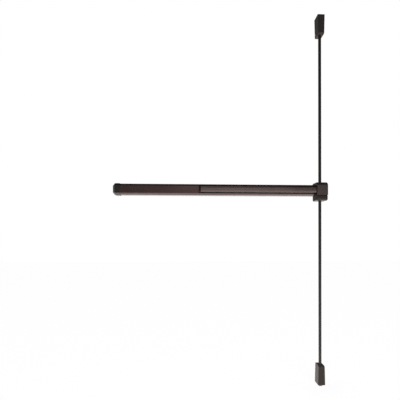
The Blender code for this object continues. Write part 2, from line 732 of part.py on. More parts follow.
def build_case():
    """The cast cover, which the rail's tongue and the rods enter, and its two screws."""
    def side_rim(a, b):
        beside = min(abs(a.x), abs(b.x)) > CASE_HALF - STEP_GAP and min(a.y, b.y) < 0.0
        return beside and not (abs(a.z - CASE_STEP_Z) < GAP and abs(b.z - CASE_STEP_Z) < GAP)

    cover = prism("case_cover", crown_outline(0.0, PAST_WALL), "X", -CASE_HALF, CASE_HALF)
    bevel_edges(cover, CASE_EDGE, 3, side_rim)
    heel_half = CASE_HALF - CASE_SIDE_STEP
    heel = prism("heel", heel_outline(0.0, PAST_WALL + STEP_GAP), "X", -heel_half, heel_half)
    cover = join(cover, bevel_edges(heel, CASE_EDGE, 3, side_rim))
    side = CASE_HALF - CASE_WALL
    wide = CASE_HALF + PAST_WALL
    upper = prism("upper", crown_outline(CASE_WALL, PAST_WALL * 2), "X", -side, side)
    low_side = side - CASE_SIDE_STEP
    lower = prism("lower", heel_outline(CASE_WALL, PAST_WALL * 2 + STEP_GAP), "X", -low_side, low_side)
    tall = (CASE_BOTTOM - PAST_WALL, CASE_TOP + PAST_WALL)
    back = block("back", (-wide, wide), (0.0, PAST_WALL * 3), tall)
    door_half = BRACKET_HALF + PLAY
    door_deep = (CRANK_FRONT - STEP_GAP, PAST_WALL)
    doorway = block("doorway", (-wide, STEP_GAP - side), door_deep, (-door_half, door_half))
    tools = [join(upper, lower), back, doorway]
    for end in (CASE_TOP, CASE_BOTTOM):
        tools.append(hole("Z", (0.0, ROD_Y), end - PAST_WALL, end + PAST_WALL, ROD_RADIUS + PLAY))
    for z in COVER_SCREWS.values():
        tools.append(hole("X", (FLANGE_SCREW_Y, z), side - STEP_GAP, CASE_HALF + STEP_GAP))
    finish(cut(cover, *tools), BRONZE)
    for name, z in COVER_SCREWS.items():
        screw(name, (CASE_HALF + GAP, FLANGE_SCREW_Y, z), TO_RIGHT)


def build_base_plate():
    """The folded plate on the door: it carries the cover's flange and the tongue under the rail."""
    side = CASE_HALF - CASE_WALL - GAP
    fold = (side - FLANGE_WALL, side)
    plate_half = side - CASE_SIDE_STEP
    tall = (CASE_BOTTOM + CASE_WALL + GAP, CASE_TOP - CASE_WALL - GAP)
    plate = block("case_base_plate", (-plate_half, plate_half), (-PLATE, 0.0), tall)
    lap = (RAIL_RIGHT - TONGUE_LAP, STEP_GAP - plate_half)
    tongue = block("tongue", lap, (-PLATE, 0.0), (-BRACKET_HALF, BRACKET_HALF))
    flange = block("flange", fold, (CASE_FLANGE_FRONT, -PLATE / 2), (-FLANGE_HALF, FLANGE_HALF))
    mount_x = CASE_HALF - MOUNT_SIDE
    mount_z = (CASE_TOP - MOUNT_END, CASE_BOTTOM + MOUNT_END)
    mounts = [(x, z) for x in (-mount_x, mount_x) for z in mount_z]
    tools = [hole("Y", seat, -PLATE - GAP, GAP) for seat in TONGUE_SCREWS.values()]
    tools += [hole("Y", seat, -PLATE - GAP, GAP, MOUNT_HOLE) for seat in mounts]
    tools += [hole("X", (FLANGE_SCREW_Y, z), fold[0] - GAP, side + GAP) for z in COVER_SCREWS.values()]
    finish(cut(join(plate, tongue, flange), *tools), STEEL)


def build_lift(label, sign):
    """A crank that turns the bar's pull into a rod's stroke, and its pin; the lower one is mirrored."""
    pivot = (CRANK_PIVOT_X, sign * CRANK_PIVOT_Z)
    drive = (INPUT_X, sign * INPUT_Z)
    lift = (LIFT_X, sign * LIFT_Z)
    thick = (CRANK_FRONT, CRANK_BACK)
    crank = prism(f"lift_crank_{label}", capsule(pivot, drive, LEVER_ROUND), "Y", *thick)
    arm = prism("arm", capsule(pivot, lift, LEVER_ROUND), "Y", *thick)
    hub = cylinder("hub", HUB_RADIUS, "Y", pivot, *thick)
    middle = (CRANK_FRONT + CRANK_BACK) / 2
    input_pin = cylinder("input", DRIVE_RADIUS, "Y", drive, middle, BAR_BACK + GAP, SMALL_SIDES)
    reach = LIFTER_FRONT - STEP_GAP
    output_pin = cylinder("output", DRIVE_RADIUS, "Y", lift, middle, reach, SMALL_SIDES)
    crank = join(crank, arm, hub, input_pin, output_pin)
    crank = cut(crank, hole("Y", pivot, CRANK_FRONT - GAP, CRANK_BACK + GAP, PIVOT_RADIUS + GAP))
    finish(crank, STEEL, (pivot[0], 0.0, pivot[1]))
    head, foot, base = GAP - CRANK_FRONT, -GAP - CRANK_BACK, PLATE + GAP
    profile = [
        (0.0, head + STEP_GAP), (COLLAR_RADIUS, head + STEP_GAP),
        (COLLAR_RADIUS, head), (PIVOT_RADIUS, head), (PIVOT_RADIUS, foot),
        (COLLAR_RADIUS, foot), (COLLAR_RADIUS, base), (0.0, base),
    ]
    place = Vector((pivot[0], 0.0, pivot[1]))
    finish(turned(f"lift_crank_pin_{label}", profile, place, TO_VIEWER, SMALL_SIDES), STEEL)


def build_lifter(label, sign):
    """The slide that a lifting crank moves, with the block that takes the rod's stud."""
    slot = DRIVE_RADIUS + PLAY
    foot = sign * (LIFT_Z - slot - LIFTER_PLATE)
    seat, top = sign * LIFTER_SEAT, sign * LIFTER_TOP
    flat = (LIFTER_FRONT, LIFTER_BACK)
    plate_span = sorted((foot, seat + sign * STEP_GAP))
    plate = block(f"lifter_{label}", (-LIFTER_PLATE_HALF, LIFTER_PLATE_HALF), flat, plate_span)
    deep = (ROD_Y - LIFTER_BLOCK_HALF, LIFTER_BACK)
    body = block("body", (-LIFTER_BLOCK_HALF, LIFTER_BLOCK_HALF), deep, sorted((seat, top)))
    window_span = sorted((sign * (LIFT_Z - slot), sign * (LIFT_Z + slot)))
    through = (LIFTER_FRONT - GAP, LIFTER_BACK + GAP)
    window = block("window", (LIFT_X - slot, slot), through, window_span)
    bore_span = sorted((seat - sign * GAP, top + sign * GAP))
    bore = hole("Z", (0.0, ROD_Y), *bore_span, STUD_RADIUS + GAP)
    finish(cut(join(plate, body), window, bore), STEEL)


def build_rod(name, near, far, stud):
    """A rod with a reduced stud at each end: near the centre case, and in its latch case."""
    sign = 1 if far > near else -1
    near_stud = near - sign * (STUD_SEAT - STEP_GAP)
    far_stud = far + sign * stud
    profile = [
        (0.0, near_stud), (STUD_RADIUS, near_stud), (STUD_RADIUS, near), (ROD_RADIUS, near),
        (ROD_RADIUS, far), (STUD_RADIUS, far), (STUD_RADIUS, far_stud), (0.0, far_stud),
    ]
    if sign > 0:
        profile.reverse()
    finish(turned(name, profile, Vector((0.0, ROD_Y, 0.0))), ROD_BRONZE)


def build_nut(name, start, end):
    """A hexagon lock nut on a rod's stud."""
    corner = NUT_WIDTH / math.sqrt(3)
    angles = [math.tau * i / NUT_SIDES for i in range(NUT_SIDES)]
    loop = [(corner * math.cos(angle), ROD_Y + corner * math.sin(angle)) for angle in angles]
    nut = prism(name, loop, "Z", start, end)
    finish(cut(nut, hole("Z", (0.0, ROD_Y), start - GAP, end + GAP, STUD_RADIUS + GAP)), STEEL)


def latch_outer(name, rod_end, sign, inset, back):
    """The latch case's solid shape, shrunk by an inset: a taper in front view cut to its side view."""
    slope = math.atan2(LATCH_SLOPE_RISE, LATCH_SLOPE_RUN)
    extra = inset / math.cos(slope)
    near, far = rod_end + sign * inset, rod_end + sign * (LATCH_LENGTH - inset)
    front = -LATCH_DEPTH + inset
    rod_half, far_half = LATCH_ROD_HALF - inset, LATCH_FAR_HALF - inset
    loop = [(-rod_half, near), (rod_half, near), (far_half, far), (-far_half, far)]
    taper = prism(name, loop, "Y", front, PAST_WALL)
    if inset == 0.0:
        bevel_edges(taper, LATCH_BEVEL, 2, lambda a, b: min(a.y, b.y) < -GAP)
    knee = LATCH_SLOPE_RUN * (1 + (extra - inset) / LATCH_SLOPE_RISE) - LATCH_DEPTH
    proud = front - STEP_GAP
    rise = LATCH_SLOPE_RISE * (1 - (inset - STEP_GAP) / LATCH_SLOPE_RUN) + extra
    side = [(back, near), (knee, near), (proud, rod_end + sign * rise), (proud, far), (back, far)]
    wide = LATCH_FAR_HALF + PAST_WALL
    trim = prism("trim", side, "X", -wide, wide)
    return combine("INTERSECT", taper, [trim])


def build_latch_case(end, rod_end, sign, mouth):
    """A latch case with the bush that guides the rod, and two side screws."""
    case = latch_outer(f"{end}_latch_case", rod_end, sign, 0.0, 0.0)
    hollow = latch_outer("hollow", rod_end, sign, LATCH_WALL, PAST_WALL - STEP_GAP)
    axis = (0.0, ROD_Y)
    collar = hole("Z", axis, rod_end - sign * STEP_GAP, rod_end + sign * LATCH_WALL * 2, BUSH_RADIUS + GAP)
    lean = (LATCH_FAR_HALF - LATCH_ROD_HALF) / LATCH_LENGTH
    outer_half = LATCH_ROD_HALF + lean * LATCH_SCREW
    through = outer_half + PAST_WALL
    seat = (LATCH_SCREW_Y, rod_end + sign * LATCH_SCREW)
    finish(cut(case, hollow, collar, mouth, hole("X", seat, -through, through)), BRONZE)
    head = outer_half + GAP + lean * SCREW_HEAD
    screw(f"{end}_latch_screw_left", (-head, *seat), TO_LEFT)
    screw(f"{end}_latch_screw_right", (head, *seat), TO_RIGHT)
    span = (rod_end - sign * STEP_GAP, rod_end + sign * (BUSH_LENGTH - STEP_GAP))
    bush = cylinder(f"{end}_rod_bush", BUSH_RADIUS, "Z", axis, *span)
    longer = (rod_end - sign * BUSH_LENGTH, rod_end + sign * BUSH_LENGTH * 2)
    bore = cylinder("bore", BUSH_RADIUS - BUSH_WALL, "Z", axis, *longer)
    finish(cut(bush, bore), NYLON)


def latch_plate(end, rod_end, sign):
    """The plate that screws a latch case to the door, with a folded flange for each side screw."""
    fold_out = LATCH_ROD_HALF - LATCH_WALL - GAP
    room = LATCH_WALL + GAP
    tall = sorted((rod_end + sign * room, rod_end + sign * (LATCH_LENGTH - room)))
    plate = block(f"{end}_latch_plate", (-fold_out, fold_out), (-PLATE, 0.0), tall)
    seat = (LATCH_SCREW_Y, rod_end + sign * LATCH_SCREW)
    flange_span = (seat[1] - LATCH_FLANGE, seat[1] + LATCH_FLANGE)
    deep = (LATCH_FLANGE_FRONT, -PLATE / 2)
    outer = fold_out - GAP
    walls = [sorted((side * outer, side * (outer - FLANGE_WALL))) for side in (-1, 1)]
    plate = join(plate, *[block("flange", wall, deep, flange_span) for wall in walls])
    through = fold_out + PAST_WALL
    holes = [hole("Y", (0.0, rod_end + sign * t), -PLATE - GAP, GAP, MOUNT_HOLE) for t in PLATE_HOLES]
    return cut(plate, hole("X", seat, -through, through), *holes)


def build_top_latch():
    """The upper latch: a hooked bolt that swings on a pin, drawn down by a fork on the rod."""
    mouth_half = BOLT_HALF + STEP_GAP
    deep = (MOUTH_BACK - LATCH_DEPTH, -PLATE - GAP)
    mouth = block("mouth", (-mouth_half, mouth_half), deep, (TOP_END - LATCH_WALL * 2, TOP_END + PAST_WALL))
    build_latch_case("top", TOP_ROD_END, 1, mouth)
    pivot = (ROD_Y + LIFT_REACH, TOP_END - BOLT_PIVOT_DROP)
    fork_in = BOLT_HALF + PLAY
    fork_out = fork_in + FORK_WALL
    ear_in = fork_out + STEP_GAP
    ear_out = ear_in + EAR_WALL
    ear_deep = (pivot[0] - EAR_HALF, -PLATE / 2)
    ear_tall = (pivot[1] - EAR_HALF, pivot[1] + EAR_HALF)
    plate = latch_plate("top", TOP_ROD_END, 1)
    for side in (-1, 1):
        plate = join(plate, block("ear", sorted((side * ear_in, side * ear_out)), ear_deep, ear_tall))
    pin_end = ear_out + STEP_GAP
    finish(cut(plate, hole("X", pivot, -pin_end, pin_end, PIVOT_RADIUS + GAP)), STEEL)
    finish(cylinder("top_latch_pin", PIVOT_RADIUS, "X", pivot, -pin_end, pin_end, SMALL_SIDES), STEEL)
    tail = (pivot[0] - LIFT_REACH * math.cos(HALF_SWING), pivot[1] + LIFT_REACH * math.sin(HALF_SWING))
    build_hook_bolt(pivot, tail, fork_out + GAP)
    build_rod_fork(tail, fork_in, fork_out)
    seat = TOP_ROD_END + SEAT_DROP
    build_nut("lock_nut_top", seat - GAP - NUT_HEIGHT, seat - GAP)
    build_rod("top_rod", LIFTER_TOP + GAP, seat - NUT_ROOM, NUT_ROOM + FORK_BASE - STEP_GAP)
    ends = (TOP_ROD_END + LATCH_WALL + GAP, seat - GAP)
    spring("top_latch_spring", "Z", (0.0, ROD_Y), *ends, SPRING_RADIUS, LATCH_COIL_TURNS)


def build_hook_bolt(pivot, tail, cross_half):
    """The swinging bolt: its nose above the pivot, and a tail whose cross pin rides in the fork."""
    thick = (-BOLT_HALF, BOLT_HALF)
    nose = prism("top_latch_bolt", [(pivot[0] + u, pivot[1] + v) for u, v in NOSE], "X", *thick)
    hub = cylinder("hub", HUB_RADIUS, "X", pivot, *thick)
    arm = prism("arm", capsule(pivot, tail, TAIL_ROUND), "X", *thick)
    cross = cylinder("cross", DRIVE_RADIUS, "X", tail, -cross_half, cross_half, SMALL_SIDES)
    bore = hole("X", pivot, -BOLT_HALF - GAP, BOLT_HALF + GAP, PIVOT_RADIUS + GAP)
    finish(cut(join(nose, hub, arm, cross), bore), STEEL, (0.0, *pivot))


def build_rod_fork(tail, fork_in, fork_out):
    """The fork on the upper rod's end, its two cheeks slotted for the bolt's cross pin."""
    seat = TOP_ROD_END + SEAT_DROP
    deep = (ROD_Y - SEAT_HALF, ROD_Y + SEAT_HALF)
    fork = block("rod_fork", (-SEAT_HALF, SEAT_HALF), deep, (seat, seat + FORK_BASE))
    slot = DRIVE_RADIUS + PLAY
    cheek_deep = (ROD_Y - FORK_HALF, ROD_Y + FORK_HALF)
    cheek_tall = (seat + STEP_GAP, tail[1] + slot + TAIL_ROUND)
    for side in (-1, 1):
        wall = sorted((side * fork_in, side * fork_out))
        fork = join(fork, block("cheek", wall, cheek_deep, cheek_tall))
    wide = fork_out + PAST_WALL
    window_deep = (ROD_Y - slot, tail[0] + slot)
    window = block("window", (-wide, wide), window_deep, (tail[1] - slot, tail[1] + slot))
    bore = hole("Z", (0.0, ROD_Y), seat - GAP, seat + FORK_BASE + GAP, STUD_RADIUS + GAP)
    finish(cut(fork, window, bore), STEEL)


def build_bottom_latch():
    """The lower latch: a square bolt on the end of the rod that drops into the floor."""
    near, far = BOTTOM_ROD_END, BOTTOM_END
    mouth_half = FOOT_BOLT_HALF + PLAY
    wide = (-mouth_half, mouth_half)
    square = (ROD_Y - mouth_half, ROD_Y + mouth_half)
    mouth = block("mouth", wide, square, (far - PAST_WALL, far + LATCH_WALL * 2))
    build_latch_case("bottom", near, -1, mouth)
    finish(latch_plate("bottom", near, -1), STEEL)
    seat = near - SEAT_DROP
    build_foot_bolt(seat, far)
    guide_half = LATCH_ROD_HALF - LATCH_WALL - GAP
    top = near - GUIDE_DROP
    deep = (ROD_Y - guide_half, -PLATE - GAP)
    guide = block("bottom_bolt_guide", (-guide_half, guide_half), deep, (top - GUIDE_LENGTH, top))
    bore = block("bore", wide, square, (top - GUIDE_LENGTH - PAST_WALL, top + PAST_WALL))
    finish(cut(guide, bore), NYLON)
    build_nut("lock_nut_bottom", seat + GAP, seat + GAP + NUT_HEIGHT)
    build_rod("bottom_rod", -LIFTER_TOP - GAP, seat + NUT_ROOM, NUT_ROOM + FORK_BASE - STEP_GAP)
    ends = (seat + GAP, near - LATCH_WALL - GAP)
    spring("bottom_latch_spring", "Z", (0.0, ROD_Y), *ends, SPRING_RADIUS, LATCH_COIL_TURNS)


def build_foot_bolt(seat, far):
    """The square bolt below the rod, with the collar that its spring presses on."""
    half = (-FOOT_BOLT_HALF, FOOT_BOLT_HALF)
    narrow = (ROD_Y - FOOT_BOLT_HALF, ROD_Y + FOOT_BOLT_HALF)
    wide = (ROD_Y - SEAT_HALF, ROD_Y + SEAT_HALF)
    tip = far - FOOT_BOLT_THROW
    shank = block("bottom_bolt", half, narrow, (tip, seat - FOOT_COLLAR + STEP_GAP))
    bevel_edges(shank, LATCH_BEVEL, 1, lambda a, b: max(a.z, b.z) < far)
    collar = block("collar", (-SEAT_HALF, SEAT_HALF), wide, (seat - FOOT_COLLAR, seat))
    bore = hole("Z", (0.0, ROD_Y), seat - FORK_BASE, seat + GAP, STUD_RADIUS + GAP)
    finish(cut(join(shank, collar), bore), STEEL)


build_rail()
build_filler()
build_end_cap()
build_end_bracket()
build_touchbar()
for crank_side, crank_pivot in BELL_PIVOTS.items():
    build_bell_crank(crank_side, crank_pivot)
build_actuator()
build_return_spring()
build_case()
build_base_plate()
for lift_label, lift_sign in (("upper", 1), ("lower", -1)):
    build_lift(lift_label, lift_sign)
    build_lifter(lift_label, lift_sign)
build_top_latch()
build_bottom_latch()
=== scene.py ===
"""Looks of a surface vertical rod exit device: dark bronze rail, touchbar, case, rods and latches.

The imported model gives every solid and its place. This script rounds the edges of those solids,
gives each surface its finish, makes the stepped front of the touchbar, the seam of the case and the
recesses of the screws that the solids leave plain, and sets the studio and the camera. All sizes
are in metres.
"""

import json
import logging
import math
from dataclasses import dataclass, field, replace
from enum import Enum
from typing import Callable, Iterable

import bmesh
import bpy
from mathutils import Matrix, Vector

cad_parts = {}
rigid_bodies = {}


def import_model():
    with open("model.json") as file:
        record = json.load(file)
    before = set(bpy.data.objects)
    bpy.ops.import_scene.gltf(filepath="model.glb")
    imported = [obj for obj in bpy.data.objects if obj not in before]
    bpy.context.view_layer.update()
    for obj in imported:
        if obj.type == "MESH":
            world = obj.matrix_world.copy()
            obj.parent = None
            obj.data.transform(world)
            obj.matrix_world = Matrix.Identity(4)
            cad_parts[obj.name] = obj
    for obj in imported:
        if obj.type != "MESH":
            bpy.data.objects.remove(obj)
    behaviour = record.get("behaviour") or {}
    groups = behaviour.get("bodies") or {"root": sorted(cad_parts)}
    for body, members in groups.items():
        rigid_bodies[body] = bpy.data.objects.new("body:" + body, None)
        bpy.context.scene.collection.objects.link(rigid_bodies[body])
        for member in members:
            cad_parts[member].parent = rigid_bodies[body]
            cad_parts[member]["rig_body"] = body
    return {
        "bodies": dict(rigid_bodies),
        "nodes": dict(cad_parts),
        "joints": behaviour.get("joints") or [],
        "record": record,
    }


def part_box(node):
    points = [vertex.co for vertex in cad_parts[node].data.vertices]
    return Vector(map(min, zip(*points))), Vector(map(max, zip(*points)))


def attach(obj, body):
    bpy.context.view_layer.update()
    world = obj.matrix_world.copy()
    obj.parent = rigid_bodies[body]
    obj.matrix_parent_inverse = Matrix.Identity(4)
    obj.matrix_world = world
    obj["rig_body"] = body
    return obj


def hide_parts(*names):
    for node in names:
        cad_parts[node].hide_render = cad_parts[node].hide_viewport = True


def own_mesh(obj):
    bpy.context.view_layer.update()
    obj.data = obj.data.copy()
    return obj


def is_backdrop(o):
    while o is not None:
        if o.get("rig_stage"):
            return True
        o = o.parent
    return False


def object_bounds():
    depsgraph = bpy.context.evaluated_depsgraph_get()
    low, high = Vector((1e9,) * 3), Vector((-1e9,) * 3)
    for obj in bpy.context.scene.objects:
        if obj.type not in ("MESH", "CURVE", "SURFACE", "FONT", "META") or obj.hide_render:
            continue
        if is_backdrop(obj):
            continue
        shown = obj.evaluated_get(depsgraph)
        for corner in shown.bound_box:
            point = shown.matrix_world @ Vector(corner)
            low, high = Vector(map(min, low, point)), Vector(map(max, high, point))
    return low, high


LOG = logging.getLogger("exit_device")

Colour = tuple[float, float, float]
Stops = tuple[tuple[float, float], ...]

LEFT = Vector((-1.0, 0.0, 0.0))
RIGHT = Vector((1.0, 0.0, 0.0))
FRONT = Vector((0.0, -1.0, 0.0))


class Grain(Enum):
    """Which way a surface was drawn or brushed, as the stretch of its grain on X, Y and Z."""

    ALONG_RAIL = (0.02, 1.0, 1.0)
    ALONG_ROD = (1.0, 1.0, 0.02)
    EVEN = (1.0, 1.0, 1.0)


@dataclass(frozen=True)
class Finish:
    """One surface finish, from which a material is made.

    Attributes:
        name: The material's name.
        slot: The material slot of the record that it belongs to; not used.
        colour: The base colour.
        worn: The colour of edges that are rubbed bright.
        metallic: How metallic it is.
        roughness: The middle of its roughness.
        spread: How far the grain moves the roughness, from end to end.
        grain: Which way the grain runs.
        grain_scale: How fine the grain is.
        grain_depth: How deep the grain is.
        wear: How strongly the edges are worn.
        specular: The strength of its reflections, where it isn't metal.
    """

    name: str
    slot: str
    colour: Colour
    worn: Colour
    metallic: float
    roughness: float
    spread: float
    grain: Grain
    grain_scale: float
    grain_depth: float
    wear: float
    specular: float = 0.5


BRONZE_EXTRUSION = Finish(
    "bronze_extrusion", "dark_bronze", colour=(0.078, 0.047, 0.043), worn=(0.17, 0.12, 0.11),
    metallic=0.80, roughness=0.30, spread=0.08, grain=Grain.ALONG_RAIL, grain_scale=900.0,
    grain_depth=0.00004, wear=0.35,
)
BRONZE_SATIN = replace(
    BRONZE_EXTRUSION, name="bronze_satin", colour=(0.115, 0.084, 0.079), worn=(0.26, 0.21, 0.19),
    metallic=0.85, roughness=0.26,
)
# Painted shadow: a near-black, matt copy of the extrusion, put where only shade falls: on the
# touchbar's faces behind the rail's lips and in the case's seam groove.
BRONZE_PAINTED_SHADOW = replace(
    BRONZE_EXTRUSION, name="bronze_painted_shadow", colour=(0.012, 0.006, 0.006), worn=(0.03, 0.02, 0.02),
    metallic=0.0, roughness=0.60, wear=0.0, specular=0.20,
)
BRONZE_CASTING = Finish(
    "bronze_casting", "dark_bronze", colour=(0.088, 0.072, 0.069), worn=(0.18, 0.15, 0.14),
    metallic=0.70, roughness=0.38, spread=0.12, grain=Grain.EVEN, grain_scale=1400.0,
    grain_depth=0.00005, wear=0.40,
)
BRONZE_COVER = replace(
    BRONZE_CASTING, name="bronze_cover", colour=(0.094, 0.073, 0.069), worn=(0.20, 0.16, 0.145),
)
# Painted shade: a darker copy of the casting, put on the case cover below its seam, on the top
# latch case's faces that lean up or down, and on the whole bottom latch case.
BRONZE_CASTING_PAINTED_SHADE = replace(
    BRONZE_CASTING, name="bronze_casting_painted_shade", colour=(0.044, 0.034, 0.030), worn=(0.12, 0.09, 0.08),
    metallic=0.60, roughness=0.44, wear=0.35, specular=0.30,
)
# Painted highlight: a much lighter copy of the casting, put on the bottom latch case's faces that
# lean up or down.
BRONZE_CASTING_PAINTED_HIGHLIGHT = replace(
    BRONZE_CASTING, name="bronze_casting_painted_highlight", colour=(0.235, 0.190, 0.175), worn=(0.30, 0.25, 0.23),
    metallic=0.45, roughness=0.50, wear=0.20,
)
ROD_PLATING = Finish(
    "rod_plating", "rod_bronze", colour=(0.028, 0.0255, 0.0245), worn=(0.09, 0.08, 0.075),
    metallic=0.55, roughness=0.46, spread=0.08, grain=Grain.ALONG_ROD, grain_scale=1200.0,
    grain_depth=0.00001, wear=0.10,
)
ZINC_STEEL = Finish(
    "zinc_steel", "zinc_steel", colour=(0.46, 0.47, 0.48), worn=(0.60, 0.60, 0.60),
    metallic=0.95, roughness=0.34, spread=0.12, grain=Grain.EVEN, grain_scale=500.0,
    grain_depth=0.00003, wear=0.30,
)
BOLT_STEEL = replace(
    ZINC_STEEL, name="bolt_steel", colour=(0.10, 0.095, 0.09), worn=(0.30, 0.29, 0.28),
    metallic=0.90, roughness=0.38, spread=0.10, grain_scale=700.0, wear=0.40,
)
SPRING_WIRE = Finish(
    "spring_wire", "spring_steel", colour=(0.34, 0.34, 0.35), worn=(0.50, 0.50, 0.50),
    metallic=1.0, roughness=0.26, spread=0.08, grain=Grain.EVEN, grain_scale=2400.0,
    grain_depth=0.00001, wear=0.20,
)
MOULDED_PLASTIC = Finish(
    "moulded_plastic", "dark_plastic", colour=(0.022, 0.017, 0.015), worn=(0.075, 0.060, 0.055),
    metallic=0.0, roughness=0.34, spread=0.08, grain=Grain.EVEN, grain_scale=2200.0,
    grain_depth=0.00003, wear=0.30, specular=0.95,
)
CAP_FACE = replace(
    MOULDED_PLASTIC, name="cap_face", colour=(0.0085, 0.0065, 0.0060), worn=(0.040, 0.032, 0.030),
    specular=0.45,
)
# Painted highlight: a lighter copy of the moulded plastic, put on the end cap's front faces that
# slope to the left or down.
CAP_PAINTED_HIGHLIGHT = replace(
    MOULDED_PLASTIC, name="cap_painted_highlight", colour=(0.062, 0.056, 0.052), worn=(0.090, 0.080, 0.075),
)
# The plugs' own dark plastic, made darker and duller still as painted shade for the gap at the
# touchbar's ends.
PLUG_PLASTIC_PAINTED_SHADE = replace(
    MOULDED_PLASTIC, name="plug_plastic_painted_shade", colour=(0.016, 0.011, 0.010), worn=(0.045, 0.036, 0.033),
    roughness=0.50, spread=0.10, grain_depth=0.00006, wear=0.20, specular=0.18,
)
BLACK_NYLON = Finish(
    "black_nylon", "black_nylon", colour=(0.014, 0.014, 0.014), worn=(0.035, 0.035, 0.035),
    metallic=0.0, roughness=0.50, spread=0.08, grain=Grain.EVEN, grain_scale=1800.0,
    grain_depth=0.00003, wear=0.20,
)

# How every finish finds its worn edges and breaks up its tone
EDGE_SAMPLES = 6
EDGE_GAIN = 5.0
PATCH_SCALE = 140.0
PATCH_DETAIL = 4.0
PATCH_FLOOR = 0.35
PATCH_GAIN = 2.6
FINE_DETAIL = 3.0
CLOUD_SCALE = 9.0
CLOUD_DETAIL = 5.0


def maths(tree: bpy.types.NodeTree, operation: str, first: object, second: object,
          clamp: bool = False) -> bpy.types.NodeSocket:
    """Add a Math node to a tree.

    Args:
        tree: The tree of a material, a world or a group.
        operation: The Math node's operation.
        first: A socket or a number.
        second: A socket or a number.
        clamp: Whether the result is held between 0 and 1.

    Returns:
        The node's result.
    """
    made = tree.nodes.new("ShaderNodeMath")
    made.operation = operation
    made.use_clamp = clamp
    for value, socket in zip((first, second), made.inputs):
        if isinstance(value, bpy.types.NodeSocket):
            tree.links.new(value, socket)
        else:
            socket.default_value = value
    return made.outputs[0]


def mesh_of(name: str, work: bmesh.types.BMesh) -> bpy.types.Mesh:
    """Turn a shape into a mesh and free the shape.

    Args:
        name: The mesh's name.
        work: The shape.

    Returns:
        The mesh.
    """
    mesh = bpy.data.meshes.new(name)
    work.to_mesh(mesh)
    work.free()
    return mesh


def add_object(name: str, data: bpy.types.ID) -> bpy.types.Object:
    """Make an object and link it into the scene.

    Args:
        name: The object's name.
        data: Its mesh, light or camera.

    Returns:
        The object, at the origin.
    """
    made = bpy.data.objects.new(name, data)
    bpy.context.scene.collection.objects.link(made)
    return made


class EffectGroup:
    """A shader node group under construction, with short ways to add its nodes and sockets."""

    def __init__(self, name: str) -> None:
        """Start an empty group.

        Args:
            name: The group's name in the file.
        """
        self.tree = bpy.data.node_groups.new(name, "ShaderNodeTree")
        self.entry = self.tree.nodes.new("NodeGroupInput")
        self.exit = self.tree.nodes.new("NodeGroupOutput")

    def takes(self, name: str, kind: str, default: object) -> None:
        """Add an input socket.

        Args:
            name: The socket's name.
            kind: The socket's type, as Blender names it.
            default: The value it holds where nothing is linked.
        """
        socket = self.tree.interface.new_socket(name, in_out="INPUT", socket_type=kind)
        socket.default_value = default

    def gives(self, name: str, source: bpy.types.NodeSocket) -> None:
        """Add a number as an output socket.

        Args:
            name: The socket's name.
            source: The socket inside the group that feeds it.
        """
        self.tree.interface.new_socket(name, in_out="OUTPUT", socket_type="NodeSocketFloat")
        self.tree.links.new(source, self.exit.inputs[name])

    def node(self, kind: str, **settings: object) -> bpy.types.Node:
        """Add a node with some of its properties set.

        Args:
            kind: The node's type, without its ShaderNode prefix.
            **settings: Values for the node's properties.

        Returns:
            The new node.
        """
        made = self.tree.nodes.new("ShaderNode" + kind)
        for key, value in settings.items():
            setattr(made, key, value)
        return made

    def link(self, source: bpy.types.NodeSocket, target: bpy.types.NodeSocket) -> None:
        """Link two sockets inside the group."""
        self.tree.links.new(source, target)

    def noise(self, place: bpy.types.NodeSocket, detail: float) -> bpy.types.Node:
        """Add a noise texture in three dimensions.

        Args:
            place: The point where it is read.
            detail: How many finer layers it has.

        Returns:
            The noise's node, with its scale still to be set.
        """
        made = self.node("TexNoise", noise_dimensions="3D")
        made.inputs["Detail"].default_value = detail
        self.link(place, made.inputs["Vector"])
        return made


def edge_wear_group() -> bpy.types.NodeTree:
    """A mask of the edges that hands and tools rub bright, broken up by noise.

    Returns:
        The group's tree, with Radius and Amount in and Mask out.
    """
    group = EffectGroup("edge_wear")
    group.takes("Radius", "NodeSocketFloat", 0.001)
    group.takes("Amount", "NodeSocketFloat", 0.3)
    tree = group.tree
    rounded = group.node("Bevel", samples=EDGE_SAMPLES)
    group.link(group.entry.outputs["Radius"], rounded.inputs["Radius"])
    flat = group.node("NewGeometry")
    facing = group.node("VectorMath", operation="DOT_PRODUCT")
    group.link(rounded.outputs["Normal"], facing.inputs[0])
    group.link(flat.outputs["Normal"], facing.inputs[1])
    bend = maths(tree, "SUBTRACT", 1.0, facing.outputs["Value"])
    bent = maths(tree, "MULTIPLY", bend, EDGE_GAIN, clamp=True)
    patches = group.noise(group.node("TexCoord").outputs["Object"], PATCH_DETAIL)
    patches.inputs["Scale"].default_value = PATCH_SCALE
    above = maths(tree, "SUBTRACT", patches.outputs["Fac"], PATCH_FLOOR)
    broken = maths(tree, "MULTIPLY", above, PATCH_GAIN, clamp=True)
    mask = maths(tree, "MULTIPLY", bent, broken)
    group.gives("Mask", maths(tree, "MULTIPLY", mask, group.entry.outputs["Amount"], clamp=True))
    return tree


def surface_grain_group() -> bpy.types.NodeTree:
    """Fine grain, stretched along the way that a surface was drawn, with slower clouds of tone.

    Returns:
        The group's tree, with Stretch and Scale in, and Fine and Clouds out, both about 0.5.
    """
    group = EffectGroup("surface_grain")
    group.takes("Stretch", "NodeSocketVector", (1.0, 1.0, 1.0))
    group.takes("Scale", "NodeSocketFloat", 1000.0)
    place = group.node("TexCoord")
    drawn = group.node("VectorMath", operation="MULTIPLY")
    group.link(place.outputs["Object"], drawn.inputs[0])
    group.link(group.entry.outputs["Stretch"], drawn.inputs[1])
    fine = group.noise(drawn.outputs["Vector"], FINE_DETAIL)
    group.link(group.entry.outputs["Scale"], fine.inputs["Scale"])
    clouds = group.noise(place.outputs["Object"], CLOUD_DETAIL)
    clouds.inputs["Scale"].default_value = CLOUD_SCALE
    group.gives("Fine", fine.outputs["Fac"])
    group.gives("Clouds", clouds.outputs["Fac"])
    return group.tree


